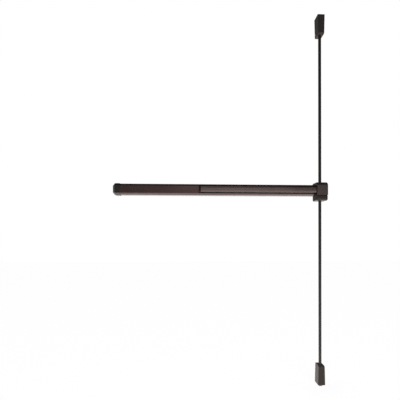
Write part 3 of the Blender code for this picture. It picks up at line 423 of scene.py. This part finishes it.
@dataclass
class FinishShop:
    """Makes each finish's material once and hands it out.

    Attributes:
        wear_radius: How far from an edge the wear reaches.
        noise_low: The noise value at which a colour or roughness starts to change.
        noise_high: The noise value at which it stops changing.
        clouding: How much darker or lighter the clouds make a colour.
        bump_strength: How strongly the grain bends the light.
        made: The materials made so far, by name.
        effects: The node groups made so far, by the name of their builder.
    """

    wear_radius: float = 0.0008
    noise_low: float = 0.3
    noise_high: float = 0.7
    clouding: float = 0.10
    bump_strength: float = 0.5
    made: dict[str, bpy.types.Material] = field(default_factory=dict)
    effects: dict[str, bpy.types.NodeTree] = field(default_factory=dict)

    def effect(self, tree: bpy.types.NodeTree,
               builder: Callable[[], bpy.types.NodeTree]) -> bpy.types.Node:
        """Place an effect group in a material's tree.

        Args:
            tree: The material's tree.
            builder: The function that makes the group, called the first time only.

        Returns:
            The group's node in the material.
        """
        if builder.__name__ not in self.effects:
            self.effects[builder.__name__] = builder()
        node = tree.nodes.new("ShaderNodeGroup")
        node.node_tree = self.effects[builder.__name__]
        return node

    def material(self, finish: Finish) -> bpy.types.Material:
        """The material of a finish.

        Args:
            finish: The finish to make.

        Returns:
            Its material, made the first time and shared after that.
        """
        if finish.name in self.made:
            return self.made[finish.name]
        made = bpy.data.materials.new(finish.name)
        made.use_nodes = True
        tree = made.node_tree
        shader = tree.nodes["Principled BSDF"]
        shader.inputs["Metallic"].default_value = finish.metallic
        shader.inputs["Specular IOR Level"].default_value = finish.specular
        grain = self.effect(tree, surface_grain_group)
        grain.inputs["Stretch"].default_value = finish.grain.value
        grain.inputs["Scale"].default_value = finish.grain_scale
        wear = self.effect(tree, edge_wear_group)
        wear.inputs["Radius"].default_value = self.wear_radius
        wear.inputs["Amount"].default_value = finish.wear
        self.colour(tree, shader, finish, grain, wear)
        self.relief(tree, shader, finish, grain)
        made.diffuse_color = (*finish.colour, 1.0)
        self.made[finish.name] = made
        return made

    def colour(self, tree: bpy.types.NodeTree, shader: bpy.types.Node, finish: Finish,
               grain: bpy.types.Node, wear: bpy.types.Node) -> None:
        """Feed the base colour: clouded, then brighter where the edges are worn.

        Args:
            tree: The material's tree.
            shader: Its Principled shader.
            finish: The finish that gives the colours.
            grain: The node that gives the clouds.
            wear: The node that gives the mask of worn edges.
        """
        ramp = tree.nodes.new("ShaderNodeValToRGB")
        stops = ((self.noise_low, 1.0 - self.clouding), (self.noise_high, 1.0 + self.clouding))
        for element, (position, share) in zip(ramp.color_ramp.elements, stops):
            element.position = position
            element.color = (*[part * share for part in finish.colour], 1.0)
        tree.links.new(grain.outputs["Clouds"], ramp.inputs["Fac"])
        mix = tree.nodes.new("ShaderNodeMix")
        mix.data_type = "RGBA"
        tree.links.new(wear.outputs["Mask"], mix.inputs["Factor"])
        tree.links.new(ramp.outputs["Color"], mix.inputs["A"])
        mix.inputs["B"].default_value = (*finish.worn, 1.0)
        tree.links.new(mix.outputs["Result"], shader.inputs["Base Color"])

    def relief(self, tree: bpy.types.NodeTree, shader: bpy.types.Node, finish: Finish,
               grain: bpy.types.Node) -> None:
        """Feed the roughness and the bump from the grain.

        Args:
            tree: The material's tree.
            shader: Its Principled shader.
            finish: The finish that gives the depths.
            grain: The node that gives the fine grain.
        """
        rough = tree.nodes.new("ShaderNodeMapRange")
        rough.inputs["From Min"].default_value = self.noise_low
        rough.inputs["From Max"].default_value = self.noise_high
        rough.inputs["To Min"].default_value = finish.roughness - finish.spread / 2
        rough.inputs["To Max"].default_value = finish.roughness + finish.spread / 2
        tree.links.new(grain.outputs["Fine"], rough.inputs["Value"])
        tree.links.new(rough.outputs["Result"], shader.inputs["Roughness"])
        bump = tree.nodes.new("ShaderNodeBump")
        bump.inputs["Strength"].default_value = self.bump_strength
        bump.inputs["Distance"].default_value = finish.grain_depth
        tree.links.new(grain.outputs["Fine"], bump.inputs["Height"])
        tree.links.new(bump.outputs["Normal"], shader.inputs["Normal"])


@dataclass
class Assembly:
    """What every sub-assembly shares: the frame, the finishes and the ways of working.

    Attributes:
        shop: Where the materials come from.
        weld: Corners closer than this are one.
        turned: How far a face's normal leans a way to count as turned that way.
        flat_angle: Faces that meet at less than this are one flat.
        edge_angle: Faces that meet at more than this have a hard edge between them.
        smooth_angle: Edges below this are shaded smooth.
    """

    frame: dict
    shop: FinishShop
    weld: float = 0.00001
    turned: float = 0.3
    flat_angle: float = math.radians(1.0)
    edge_angle: float = math.radians(26.0)
    smooth_angle: float = math.radians(38.0)

    def body_of(self, node: str) -> str:
        """The name of the body that a node rides on."""
        return self.frame["nodes"][node]["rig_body"]

    def report(self, piece: bpy.types.Object) -> None:
        """Log a finished piece and its size in faces."""
        LOG.info("%s: %d faces", piece.name, len(piece.data.polygons))

    def settle(self, name: str, work: bmesh.types.BMesh, finish: Finish) -> bpy.types.Object:
        """Turn a finished bmesh into an object at the origin with its material.

        Args:
            name: The object's name.
            work: The mesh under construction, which is freed.
            finish: The finish that it wears.

        Returns:
            The new object.
        """
        mesh = mesh_of(name, work)
        mesh.shade_smooth()
        mesh.set_sharp_from_angle(angle=self.smooth_angle)
        mesh.materials.append(self.shop.material(finish))
        return add_object(name, mesh)

    def welded(self, node: str) -> bmesh.types.BMesh:
        """A node's solid with the corners of its triangles merged.

        Args:
            node: The node's name.

        Returns:
            A bmesh that the caller shapes and frees.
        """
        work = bmesh.new()
        work.from_mesh(self.frame["nodes"][node].data)
        bmesh.ops.remove_doubles(work, verts=work.verts, dist=self.weld)
        return work

    def solid(self, node: str) -> bmesh.types.BMesh:
        """A node's solid as a clean mesh: its triangles merged and its flats made whole.

        Args:
            node: The node's name.

        Returns:
            A bmesh that the caller shapes and frees.
        """
        work = self.welded(node)
        bmesh.ops.dissolve_limit(
            work, angle_limit=self.flat_angle, verts=work.verts, edges=work.edges,
        )
        return work

    def hard_edges(self, work: bmesh.types.BMesh) -> list[bmesh.types.BMEdge]:
        """The edges of a shape where two faces meet at a hard angle."""
        return [
            edge for edge in work.edges
            if len(edge.link_faces) == 2 and edge.calc_face_angle(0.0) > self.edge_angle
        ]

    def soften(self, node: str, finish: Finish, radius: float,
               segments: int = 2) -> bpy.types.Object:
        """Replace a node by its own solid with every hard edge rounded.

        Args:
            node: The node's name.
            finish: The finish that it wears.
            radius: How far each rounding reaches from its edge.
            segments: How many faces each rounding has.

        Returns:
            The dressed piece, riding on the node's body.
        """
        return self.finished(node, self.solid(node), finish, radius, segments)

    def finished(self, node: str, work: bmesh.types.BMesh, finish: Finish, radius: float,
                 segments: int = 2) -> bpy.types.Object:
        """Round every hard edge of a shape and put it in a node's place.

        Args:
            node: The node that it stands for.
            work: The shape, which is freed.
            finish: The finish that it wears.
            radius: How far each rounding reaches from its edge.
            segments: How many faces each rounding has.

        Returns:
            The dressed piece, riding on the node's body.
        """
        self.round_off(work, self.hard_edges(work), radius, segments)
        piece = self.settle(f"{node}_dressed", work, finish)
        level = piece.modifiers.new("flat_faces_stay_flat", "WEIGHTED_NORMAL")
        level.keep_sharp = True
        self.stand_for(piece, node, finish)
        return piece

    def round_off(self, work: bmesh.types.BMesh, edges: list[bmesh.types.BMEdge], radius: float,
                  segments: int = 2) -> None:
        """Round some edges of a shape.

        Args:
            work: The shape.
            edges: The edges.
            radius: How far the rounding reaches from each edge.
            segments: How many faces it has.
        """
        bmesh.ops.bevel(
            work, geom=edges, offset=radius, offset_type="OFFSET", segments=segments,
            profile=0.5, affect="EDGES", clamp_overlap=True, material=-1,
        )

    def drawn(self, outline: list[tuple[float, float]], start: float,
              end: float) -> bmesh.types.BMesh:
        """Draw a section along X, as an extrusion is drawn through its die.

        Args:
            outline: The section's corners, as Y and Z.
            start: Where the length starts, in X.
            end: Where it ends.

        Returns:
            The closed shape.
        """
        work = bmesh.new()
        section = work.faces.new([work.verts.new((start, y, z)) for y, z in outline])
        self.push_face(work, section, end - start)
        return work

    def push_face(self, work: bmesh.types.BMesh, face: bmesh.types.BMFace, way: float) -> None:
        """Extrude a face along X.

        Args:
            work: The shape that it belongs to.
            face: The face.
            way: How far it goes, with its sign.
        """
        made = bmesh.ops.extrude_face_region(work, geom=[face])
        moved = [item for item in made["geom"] if isinstance(item, bmesh.types.BMVert)]
        bmesh.ops.translate(work, vec=Vector((way, 0.0, 0.0)), verts=moved)
        bmesh.ops.recalc_face_normals(work, faces=work.faces)

    def stand_for(self, piece: bpy.types.Object, node: str, finish: Finish) -> None:
        """Put a finished piece in its node's place, on the same body.

        Args:
            piece: The finished piece.
            node: The node that it stands for.
            finish: The finish that it wears; not used.
        """
        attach(piece, self.body_of(node))
        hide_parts(node)
        self.report(piece)

    def paint(self, piece: bpy.types.Object, finish: Finish,
              chosen: Callable[[bpy.types.MeshPolygon], bool]) -> None:
        """Give some faces of a finished piece a second finish.

        Args:
            piece: The finished piece.
            finish: The finish for those faces.
            chosen: Says whether a face gets it.
        """
        piece.data.materials.append(self.shop.material(finish))
        slot = len(piece.data.materials) - 1
        for polygon in piece.data.polygons:
            if chosen(polygon):
                polygon.material_index = slot

    def wind(self, node: str, joint: str, axis: Vector, stroke: float) -> None:
        """Put a coil spring in its node's place.

        Args:
            node: The spring's node.
            joint: The joint that presses it; not used.
            axis: The way from its pressed end to its seat; not used.
            stroke: How far the joint closes it; not used.
        """
        work = self.welded(node)
        spring = self.settle(f"{node}_dressed", work, SPRING_WIRE)
        self.stand_for(spring, node, SPRING_WIRE)
        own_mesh(spring)


@dataclass
class PanHeadScrew(Assembly):
    """A pan head screw with a cross recess, made in place of a plain one."""

    recess_reach: float = 0.0024
    recess_width: float = 0.0009
    recess_depth: float = 0.0013
    recess_taper: float = 0.6
    head_edge: float = 0.0003

    def build(self, node: str, outward: Vector) -> bpy.types.Object:
        """Replace a screw's node by one with a rounded head and a driver's recess.

        Args:
            node: The screw's node.
            outward: The direction that its head faces.

        Returns:
            The dressed screw.
        """
        work = self.solid(node)
        low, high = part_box(node)
        top = max(low.dot(outward), high.dot(outward))
        middle = (low + high) / 2
        crown = middle + outward * (top - middle.dot(outward))
        self.round_off(work, self.hard_edges(work), self.head_edge)
        piece = self.settle(f"{node}_dressed", work, ZINC_STEEL)
        turn = outward.to_track_quat("Z", "Y").to_matrix().to_4x4()
        self.cut_recess(piece, Matrix.Translation(crown) @ turn)
        self.stand_for(piece, node, ZINC_STEEL)
        return piece

    def cut_recess(self, piece: bpy.types.Object, place: Matrix) -> None:
        """Cut a tapered cross out of the head.

        Args:
            piece: The screw.
            place: Where the head's crown is, with Z pointing out of it.
        """
        work = bmesh.new()
        narrow, long = 2 * self.recess_width, 2 * self.recess_reach
        taper = Vector((self.recess_taper, self.recess_taper, 1.0))
        for across, along in ((narrow, long), (long, narrow)):
            size = Matrix.Diagonal((across, along, 2 * self.recess_depth, 1.0))
            made = bmesh.ops.create_cube(work, size=1.0, matrix=size)
            floor = [v for v in made["verts"] if v.co.z < 0.0]
            bmesh.ops.scale(work, vec=taper, verts=floor)
        work.transform(place)
        cutter = add_object("recess", mesh_of("recess", work))
        boolean = piece.modifiers.new("recess", "BOOLEAN")
        boolean.operation = "DIFFERENCE"
        boolean.use_self = True
        boolean.object = cutter
        graph = bpy.context.evaluated_depsgraph_get()
        cut = bpy.data.meshes.new_from_object(piece.evaluated_get(graph))
        piece.modifiers.clear()
        piece.data = cut
        bpy.data.objects.remove(cutter)


@dataclass
class RailSet(Assembly):
    """The channel, the filler, the end cap and what fastens them."""

    edge: float = 0.0005
    cap_edge: float = 0.0012
    cap_segments: int = 3

    def build(self) -> None:
        """Dress every piece of the rail."""
        self.soften("rail_channel", BRONZE_SATIN, self.edge)
        self.soften("rail_filler", BRONZE_EXTRUSION, self.edge)
        cap = self.soften("end_cap", MOULDED_PLASTIC, self.cap_edge, self.cap_segments)
        self.paint(cap, CAP_FACE, self.faces_front)
        # The cap's faces that slope left or down get a lighter copy of its plastic as a painted
        # highlight.
        self.paint(cap, CAP_PAINTED_HIGHLIGHT, self.on_slope)
        self.soften("end_bracket", ZINC_STEEL, self.edge)
        for fixed in ("bracket", "rail"):
            for place in ("upper", "lower"):
                PanHeadScrew(self.frame, self.shop).build(f"{fixed}_screw_{place}", FRONT)
        PanHeadScrew(self.frame, self.shop).build("end_cap_screw", LEFT)

    def faces_front(self, face: bpy.types.MeshPolygon) -> bool:
        """Say whether a face of the cap is turned to the front, straight or at a slope."""
        return face.normal.y < -self.turned

    def on_slope(self, face: bpy.types.MeshPolygon) -> bool:
        """Say whether a face of the cap slopes from its front to the left or down."""
        return self.faces_front(face) and min(face.normal.x, face.normal.z) < -self.turned


@dataclass
class TouchbarSet(Assembly):
    """The touchbar, its plugs and the two links behind it.

    The bar and its plugs have one front: a raised pad whose long edges slope back to narrow strips.
    """

    edge: float = 0.0003
    plug_edge: float = 0.0005
    flange: float = 0.008
    flange_wall: float = 0.002
    wall: float = 0.0024
    gap: float = 0.0003
    tongue_rise: float = 0.0058
    pad_half: float = 0.008
    slope: float = 0.0025
    step: float = 0.0016
    corner: float = 0.003
    corner_segments: int = 4
    grooves: int = 3
    groove_pitch: float = 0.006
    groove_width: float = 0.0016
    groove_depth: float = 0.0010

    def build(self) -> None:
        """Dress every piece of the touchbar."""
        self.build_bar()
        for side in ("left", "right"):
            self.build_plug(side)
            self.soften(f"touchbar_link_{side}", ZINC_STEEL, self.edge)

    def half(self) -> float:
        """Half the height of the bar in front of the rail's lips."""
        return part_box("touchbar")[1].z - self.flange

    def pad_edge(self, front: float) -> list[tuple[float, float]]:
        """The upper half of the front: the strip, the slope and the pad's edge.

        Args:
            front: Where the pad's face is, in Y.

        Returns:
            The corners as Y and Z, from the top down.
        """
        strip = front + self.step
        return [(strip, self.half()), (strip, self.pad_half + self.slope), (front, self.pad_half)]

    def build_bar(self) -> None:
        """Draw the bar: its grooved pad, its webs and the flanges behind the rail's lips, which are
        painted near black as painted shadow.
        """
        low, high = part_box("touchbar")
        inner = self.half() - self.wall
        behind = high.y - self.flange_wall
        upper = [(high.y, high.z), (behind, high.z), (behind, self.half())] + self.pad_edge(low.y)
        ribs = []
        for i in range(self.grooves):
            middle = self.groove_pitch * ((self.grooves - 1) / 2 - i)
            top, bottom = middle + self.groove_width / 2, middle - self.groove_width / 2
            floor = low.y + self.groove_depth
            ribs += [(low.y, top), (floor, top), (floor, bottom), (low.y, bottom)]
        hollow = low.y + self.step + self.wall
        lower = [(y, -z) for y, z in reversed(upper)]
        inside = [(high.y, -inner), (hollow, -inner), (hollow, inner), (high.y, inner)]
        work = self.drawn(upper + ribs + lower + inside, low.x, high.x)
        self.round_corners(work, low.y)
        bar = self.finished("touchbar", work, BRONZE_SATIN, self.edge)
        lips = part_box("rail_channel")[0].y
        # The faces behind the rail's lips get a near-black finish: painted shadow in the gap under
        # the bar.
        self.paint(bar, BRONZE_PAINTED_SHADOW, lambda face: face.center.y > lips)

    def build_plug(self, side: str) -> None:
        """Make the plug of one end: a face with the bar's outline and a tongue inside the bar.

        Args:
            side: The end, left or right.
        """
        low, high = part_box(f"touchbar_plug_{side}")
        bar_low, bar_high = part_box("touchbar")
        face_x, seat_x, tip_x = low.x, bar_low.x - self.gap, high.x
        if side == "right":
            face_x, seat_x, tip_x = high.x, bar_high.x + self.gap, low.x
        upper = [(high.y, self.half())] + self.pad_edge(low.y)
        work = self.drawn(upper + [(y, -z) for y, z in reversed(upper)], face_x, seat_x)
        seat = min(work.faces, key=lambda face: abs(face.calc_center_median().x - seat_x))
        bmesh.ops.inset_region(work, faces=[seat], thickness=self.wall + self.gap)
        rear = [v for v in seat.verts if v.co.y > high.y - 2 * self.wall]
        bmesh.ops.translate(work, vec=Vector((0.0, -self.tongue_rise, 0.0)), verts=rear)
        self.push_face(work, seat, tip_x - seat_x)
        self.round_corners(work, low.y)
        # The plug wears its dark plastic, darkened further as painted shade for the gap at the
        # bar's end.
        self.finished(f"touchbar_plug_{side}", work, PLUG_PLASTIC_PAINTED_SHADE, self.plug_edge)

    def round_corners(self, work: bmesh.types.BMesh, front: float) -> None:
        """Round the two long corners between the strips and the webs.

        Args:
            work: The bar or plug.
            front: Where its pad's face is, in Y.
        """
        place = Vector((0.0, front + self.step, self.half()))
        found = {
            vert for vert in work.verts
            if (Vector((0.0, vert.co.y, abs(vert.co.z))) - place).length < self.weld
        }
        edges = [edge for edge in work.edges if found.issuperset(edge.verts)]
        self.round_off(work, edges, self.corner, self.corner_segments)


@dataclass
class CentreCase(Assembly):
    """The case that covers the middle of the device, and its base plate.

    The seam is a groove below the height seam, from the front back to seam_end.
    """

    cover_edge: float = 0.0006
    plate_edge: float = 0.0003
    seam: float = -0.030
    seam_height: float = 0.004
    seam_depth: float = 0.0014
    seam_end: float = -0.006

    def build(self) -> None:
        """Dress the case, its plate and its screws."""
        self.build_cover()
        self.soften("case_base_plate", ZINC_STEEL, self.plate_edge)
        for place in ("upper", "lower"):
            PanHeadScrew(self.frame, self.shop).build(f"cover_screw_{place}", RIGHT)

    def build_cover(self) -> None:
        """Make the cover: the crowned front, the sunk seam below it, painted near black as painted
        shadow, and the heel below the seam, painted darker as painted shade.
        """
        work = self.solid("case_cover")
        self.sink_seam(work)
        cover = self.finished("case_cover", work, BRONZE_COVER, self.cover_edge)
        # Below the seam the cover gets a darker copy of its casting as painted shade, and the seam
        # groove gets painted shadow.
        self.paint(cover, BRONZE_CASTING_PAINTED_SHADE, lambda face: face.center.z < self.seam)
        self.paint(cover, BRONZE_PAINTED_SHADOW, self.in_seam)

    def in_seam(self, face: bpy.types.MeshPolygon) -> bool:
        """Whether a face of the finished cover lies in the seam."""
        place = face.center
        return self.seam - self.seam_height < place.z < self.seam and place.y < self.seam_end

    def sink_seam(self, work: bmesh.types.BMesh) -> None:
        """Sink a shallow groove round the front and sides, where the crowned front meets the heel.

        Args:
            work: The cover.
        """
        foot = self.seam - self.seam_height
        planes = (
            ((0.0, 0.0, foot), (0.0, 0.0, 1.0)),
            ((0.0, self.seam_end, 0.0), (0.0, 1.0, 0.0)),
        )
        for place, normal in planes:
            everything = [*work.verts, *work.edges, *work.faces]
            bmesh.ops.bisect_plane(
                work, geom=everything, dist=self.weld, plane_co=place, plane_no=normal,
            )
        band = []
        for face in work.faces:
            middle = face.calc_center_median()
            outside = face.normal.x * middle.x > 0.0 or face.normal.y < 0.0
            upright = abs(face.normal.z) < math.sin(self.flat_angle)
            if outside and upright and foot < middle.z < self.seam and middle.y < self.seam_end:
                band.append(face)
        bmesh.ops.inset_region(work, faces=band, depth=-self.seam_depth, use_even_offset=True)


@dataclass
class Mechanism(Assembly):
    """The cranks, pins, brackets and sliding pieces inside the rail and the case."""

    edge: float = 0.0003
    pull: float = 0.0113

    def build(self) -> None:
        """Dress the moving pieces and what carries them."""
        for side in ("left", "right"):
            for piece in ("bell_crank", "crank_bracket", "crank_pin"):
                self.soften(f"{piece}_{side}", ZINC_STEEL, self.edge)
        for side in ("upper", "lower"):
            for piece in ("lift_crank", "lift_crank_pin", "lifter"):
                self.soften(f"{piece}_{side}", ZINC_STEEL, self.edge)
        for node in ("actuator_bar", "actuator_guide", "spring_anchor"):
            self.soften(node, ZINC_STEEL, self.edge)
        self.wind("actuator_spring", "actuator_pull", LEFT, self.pull)


@dataclass
class RodSet(Assembly):
    """The two rods with their lock nuts."""

    edge: float = 0.0005

    def build(self) -> None:
        """Dress the rods and the nuts."""
        for node in ("top_rod", "bottom_rod"):
            self.soften(node, ROD_PLATING, self.edge)
        for node in ("lock_nut_top", "lock_nut_bottom"):
            self.soften(node, ZINC_STEEL, self.edge)


@dataclass
class LatchSet(Assembly):
    """The latch case at one end of the rods, and what works inside it.

    Attributes:
        end: The end, top or bottom.
        seat: The way from the spring's pressed end to its seat, in Z.
        inner: The nodes inside the case.
        casting: The finish of the case; on the bottom latch a darker copy, as painted shade.
        slopes: The finish of its faces that lean up or down: painted shade by default, painted
            highlight on the bottom latch.
        draw: How far the rod draws in.
        case_edge: How far the case's edges are rounded.
        inner_edge: The same for the pieces inside.
    """

    end: str = "top"
    seat: float = -1.0
    inner: tuple[str, ...] = ()
    casting: Finish = BRONZE_CASTING
    slopes: Finish = BRONZE_CASTING_PAINTED_SHADE
    draw: float = 0.012
    case_edge: float = 0.0006
    inner_edge: float = 0.0003

    def build(self) -> None:
        """Dress the case, its plate, bush and screws, and the pieces inside."""
        case = self.soften(f"{self.end}_latch_case", self.casting, self.case_edge)
        # Faces that lean up or down get the slopes finish: painted shade on the top latch, painted
        # highlight on the bottom latch.
        self.paint(case, self.slopes, lambda face: abs(face.normal.z) > self.turned)
        self.soften(f"{self.end}_latch_plate", ZINC_STEEL, self.inner_edge)
        self.soften(f"{self.end}_rod_bush", BLACK_NYLON, self.inner_edge)
        for node in self.inner:
            steel = BOLT_STEEL if node.endswith("bolt") else ZINC_STEEL
            self.soften(node, steel, self.inner_edge)
        seat = Vector((0.0, 0.0, self.seat))
        self.wind(f"{self.end}_latch_spring", f"{self.end}_rod_draw", seat, self.draw)
        for side, outward in (("left", LEFT), ("right", RIGHT)):
            screw = PanHeadScrew(self.frame, self.shop)
            screw.build(f"{self.end}_latch_screw_{side}", outward)


@dataclass
class Studio:
    """The floor, the light and the camera of the photograph.

    Each light_ tuple gives the world's strength at some parts of a direction, from -1 to 1: across
    from left to right, deep from front to back, and high from below to above.
    """

    camera_place: Vector = field(default_factory=lambda: Vector((-0.708, -1.817, -0.2615)))
    camera_yaw: float = math.radians(3.21)
    camera_roll: float = math.radians(0.08)
    lens: float = 28.386
    sensor: float = 36.0
    shift: tuple[float, float] = (-0.03775, 0.09025)
    sight: float = 60.0
    floor_gap: float = 0.003
    floor_half: float = 9.0
    floor_seen: float = 0.86
    floor_mirrored: float = 1.7
    floor_tone: float = 0.86
    lamp_place: Vector = field(default_factory=lambda: Vector((0.0, -4.5, 0.4)))
    lamp_size: float = 2.4
    lamp_power: float = 13.0
    light_across: Stops = ((-1.0, 0.8), (-0.3, 1.0), (0.3, 0.9), (1.0, 0.35))
    light_deep: Stops = ((-1.0, 0.50), (-0.6, 0.3), (0.2, 0.5), (1.0, 0.35))
    light_high: Stops = ((0.0, 1.0), (0.5, 0.55), (0.9, 0.26), (1.0, 0.24))

    def build(self, bottom: float) -> None:
        """Set up the studio.

        Args:
            bottom: The height of the device's lowest point.
        """
        scene = bpy.context.scene
        scene.view_settings.view_transform = "Standard"
        self.place_camera(scene)
        self.lay_floor(bottom - self.floor_gap)
        self.light_world(scene)
        self.hang_lamp()

    def place_camera(self, scene: bpy.types.Scene) -> None:
        """Put the camera where the photograph was taken from.

        Args:
            scene: The scene that looks through it.
        """
        camera = bpy.data.cameras.new("camera")
        camera.lens = self.lens
        camera.sensor_width = self.sensor
        camera.shift_x, camera.shift_y = self.shift
        camera.clip_end = self.sight
        holder = add_object("camera", camera)
        holder.location = self.camera_place
        holder.rotation_euler = (math.pi / 2, self.camera_roll, -self.camera_yaw)
        scene.camera = holder

    def lay_floor(self, height: float) -> None:
        """Lay the pale floor, which is seen from above only.

        Args:
            height: The floor's height.
        """
        work = bmesh.new()
        bmesh.ops.create_grid(work, x_segments=1, y_segments=1, size=self.floor_half)
        bmesh.ops.translate(work, vec=Vector((0.0, 0.0, height)), verts=work.verts)
        mesh = mesh_of("floor", work)
        mesh.materials.append(self.floor_material())
        add_object("floor", mesh)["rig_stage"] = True

    def floor_material(self) -> bpy.types.Material:
        """A white floor that keeps soft shadows and lets a view from below through.

        Returns:
            The floor's material.
        """
        made = bpy.data.materials.new("studio_floor")
        made.use_nodes = True
        tree = made.node_tree
        tree.nodes.clear()
        output = tree.nodes.new("ShaderNodeOutputMaterial")
        matt = tree.nodes.new("ShaderNodeBsdfDiffuse")
        matt.inputs["Color"].default_value = (*[self.floor_tone] * 3, 1.0)
        glow = tree.nodes.new("ShaderNodeEmission")
        path = tree.nodes.new("ShaderNodeLightPath")
        seen = maths(tree, "MULTIPLY", path.outputs["Is Camera Ray"], self.floor_seen)
        mirrored = maths(tree, "MULTIPLY", path.outputs["Is Glossy Ray"], self.floor_mirrored)
        tree.links.new(maths(tree, "ADD", seen, mirrored), glow.inputs["Strength"])
        both = tree.nodes.new("ShaderNodeAddShader")
        tree.links.new(matt.outputs[0], both.inputs[0])
        tree.links.new(glow.outputs[0], both.inputs[1])
        clear = tree.nodes.new("ShaderNodeBsdfTransparent")
        side = tree.nodes.new("ShaderNodeMixShader")
        geometry = tree.nodes.new("ShaderNodeNewGeometry")
        tree.links.new(geometry.outputs["Backfacing"], side.inputs["Fac"])
        tree.links.new(both.outputs[0], side.inputs[1])
        tree.links.new(clear.outputs[0], side.inputs[2])
        tree.links.new(side.outputs[0], output.inputs["Surface"])
        return made

    def light_world(self, scene: bpy.types.Scene) -> None:
        """Light everything softly: white to the eye, dimmer from above and the right otherwise.

        Args:
            scene: The scene that gets the world.
        """
        world = bpy.data.worlds.new("studio")
        world.use_nodes = True
        scene.world = world
        tree = world.node_tree
        shader = tree.nodes["Background"]
        place = tree.nodes.new("ShaderNodeTexCoord")
        split = tree.nodes.new("ShaderNodeSeparateXYZ")
        tree.links.new(place.outputs["Generated"], split.inputs[0])
        across = self.ramp(tree, split.outputs["X"], self.light_across)
        deep = self.ramp(tree, split.outputs["Y"], self.light_deep)
        high = self.ramp(tree, split.outputs["Z"], self.light_high)
        around = maths(tree, "MULTIPLY", maths(tree, "MULTIPLY", across, deep), high)
        path = tree.nodes.new("ShaderNodeLightPath")
        seen = maths(tree, "MAXIMUM", path.outputs["Is Camera Ray"], around)
        tree.links.new(seen, shader.inputs["Strength"])
        shader.inputs["Color"].default_value = (1.0, 1.0, 1.0, 1.0)

    def ramp(self, tree: bpy.types.NodeTree, source: bpy.types.NodeSocket,
             stops: Stops) -> bpy.types.NodeSocket:
        """Map one part of a direction, from -1 to 1, to a strength.

        Args:
            tree: The world's tree.
            source: The direction's part.
            stops: The part and the strength at each stop, in order.

        Returns:
            The strength.
        """
        made = tree.nodes.new("ShaderNodeValToRGB")
        made.color_ramp.interpolation = "EASE"
        elements = made.color_ramp.elements
        while len(elements) < len(stops):
            elements.new(0.5)
        for element, (part, strength) in zip(elements, stops):
            element.position = (part + 1.0) / 2.0
            element.color = (strength, strength, strength, 1.0)
        share = maths(tree, "MULTIPLY", maths(tree, "ADD", source, 1.0), 0.5)
        tree.links.new(share, made.inputs["Fac"])
        return made.outputs["Color"]

    def hang_lamp(self) -> None:
        """Hang a square soft box in front, which faces the middle of the device."""
        lamp = bpy.data.lights.new("front", "AREA")
        lamp.size = self.lamp_size
        lamp.energy = self.lamp_power
        holder = add_object("front", lamp)
        holder.location = self.lamp_place
        holder.rotation_euler = (-self.lamp_place).to_track_quat("-Z", "Y").to_euler()


def corners(box: Iterable[Vector]) -> list[list[float]]:
    """A box as plain lists of numbers."""
    return [list(corner) for corner in box]


def main() -> None:
    """Load the frame, dress every sub-assembly, set the studio and note the sizes."""
    logging.basicConfig(level=logging.INFO, format="%(message)s")
    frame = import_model()
    cad = corners(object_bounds())
    shop = FinishShop()
    RailSet(frame, shop).build()
    TouchbarSet(frame, shop).build()
    CentreCase(frame, shop).build()
    Mechanism(frame, shop).build()
    RodSet(frame, shop).build()
    LatchSet(frame, shop, inner=("rod_fork", "top_latch_bolt", "top_latch_pin")).build()
    # The bottom latch case wears painted shade all over and a painted highlight on its faces that
    # lean up or down.
    LatchSet(
        frame, shop, end="bottom", seat=1.0, inner=("bottom_bolt",), casting=BRONZE_CASTING_PAINTED_SHADE,
        slopes=BRONZE_CASTING_PAINTED_HIGHLIGHT,
    ).build()
    Assembly(frame, shop).soften("bottom_bolt_guide", BLACK_NYLON, LatchSet.inner_edge)
    Studio().build(cad[0][2])


if __name__ == "__main__":
    main()
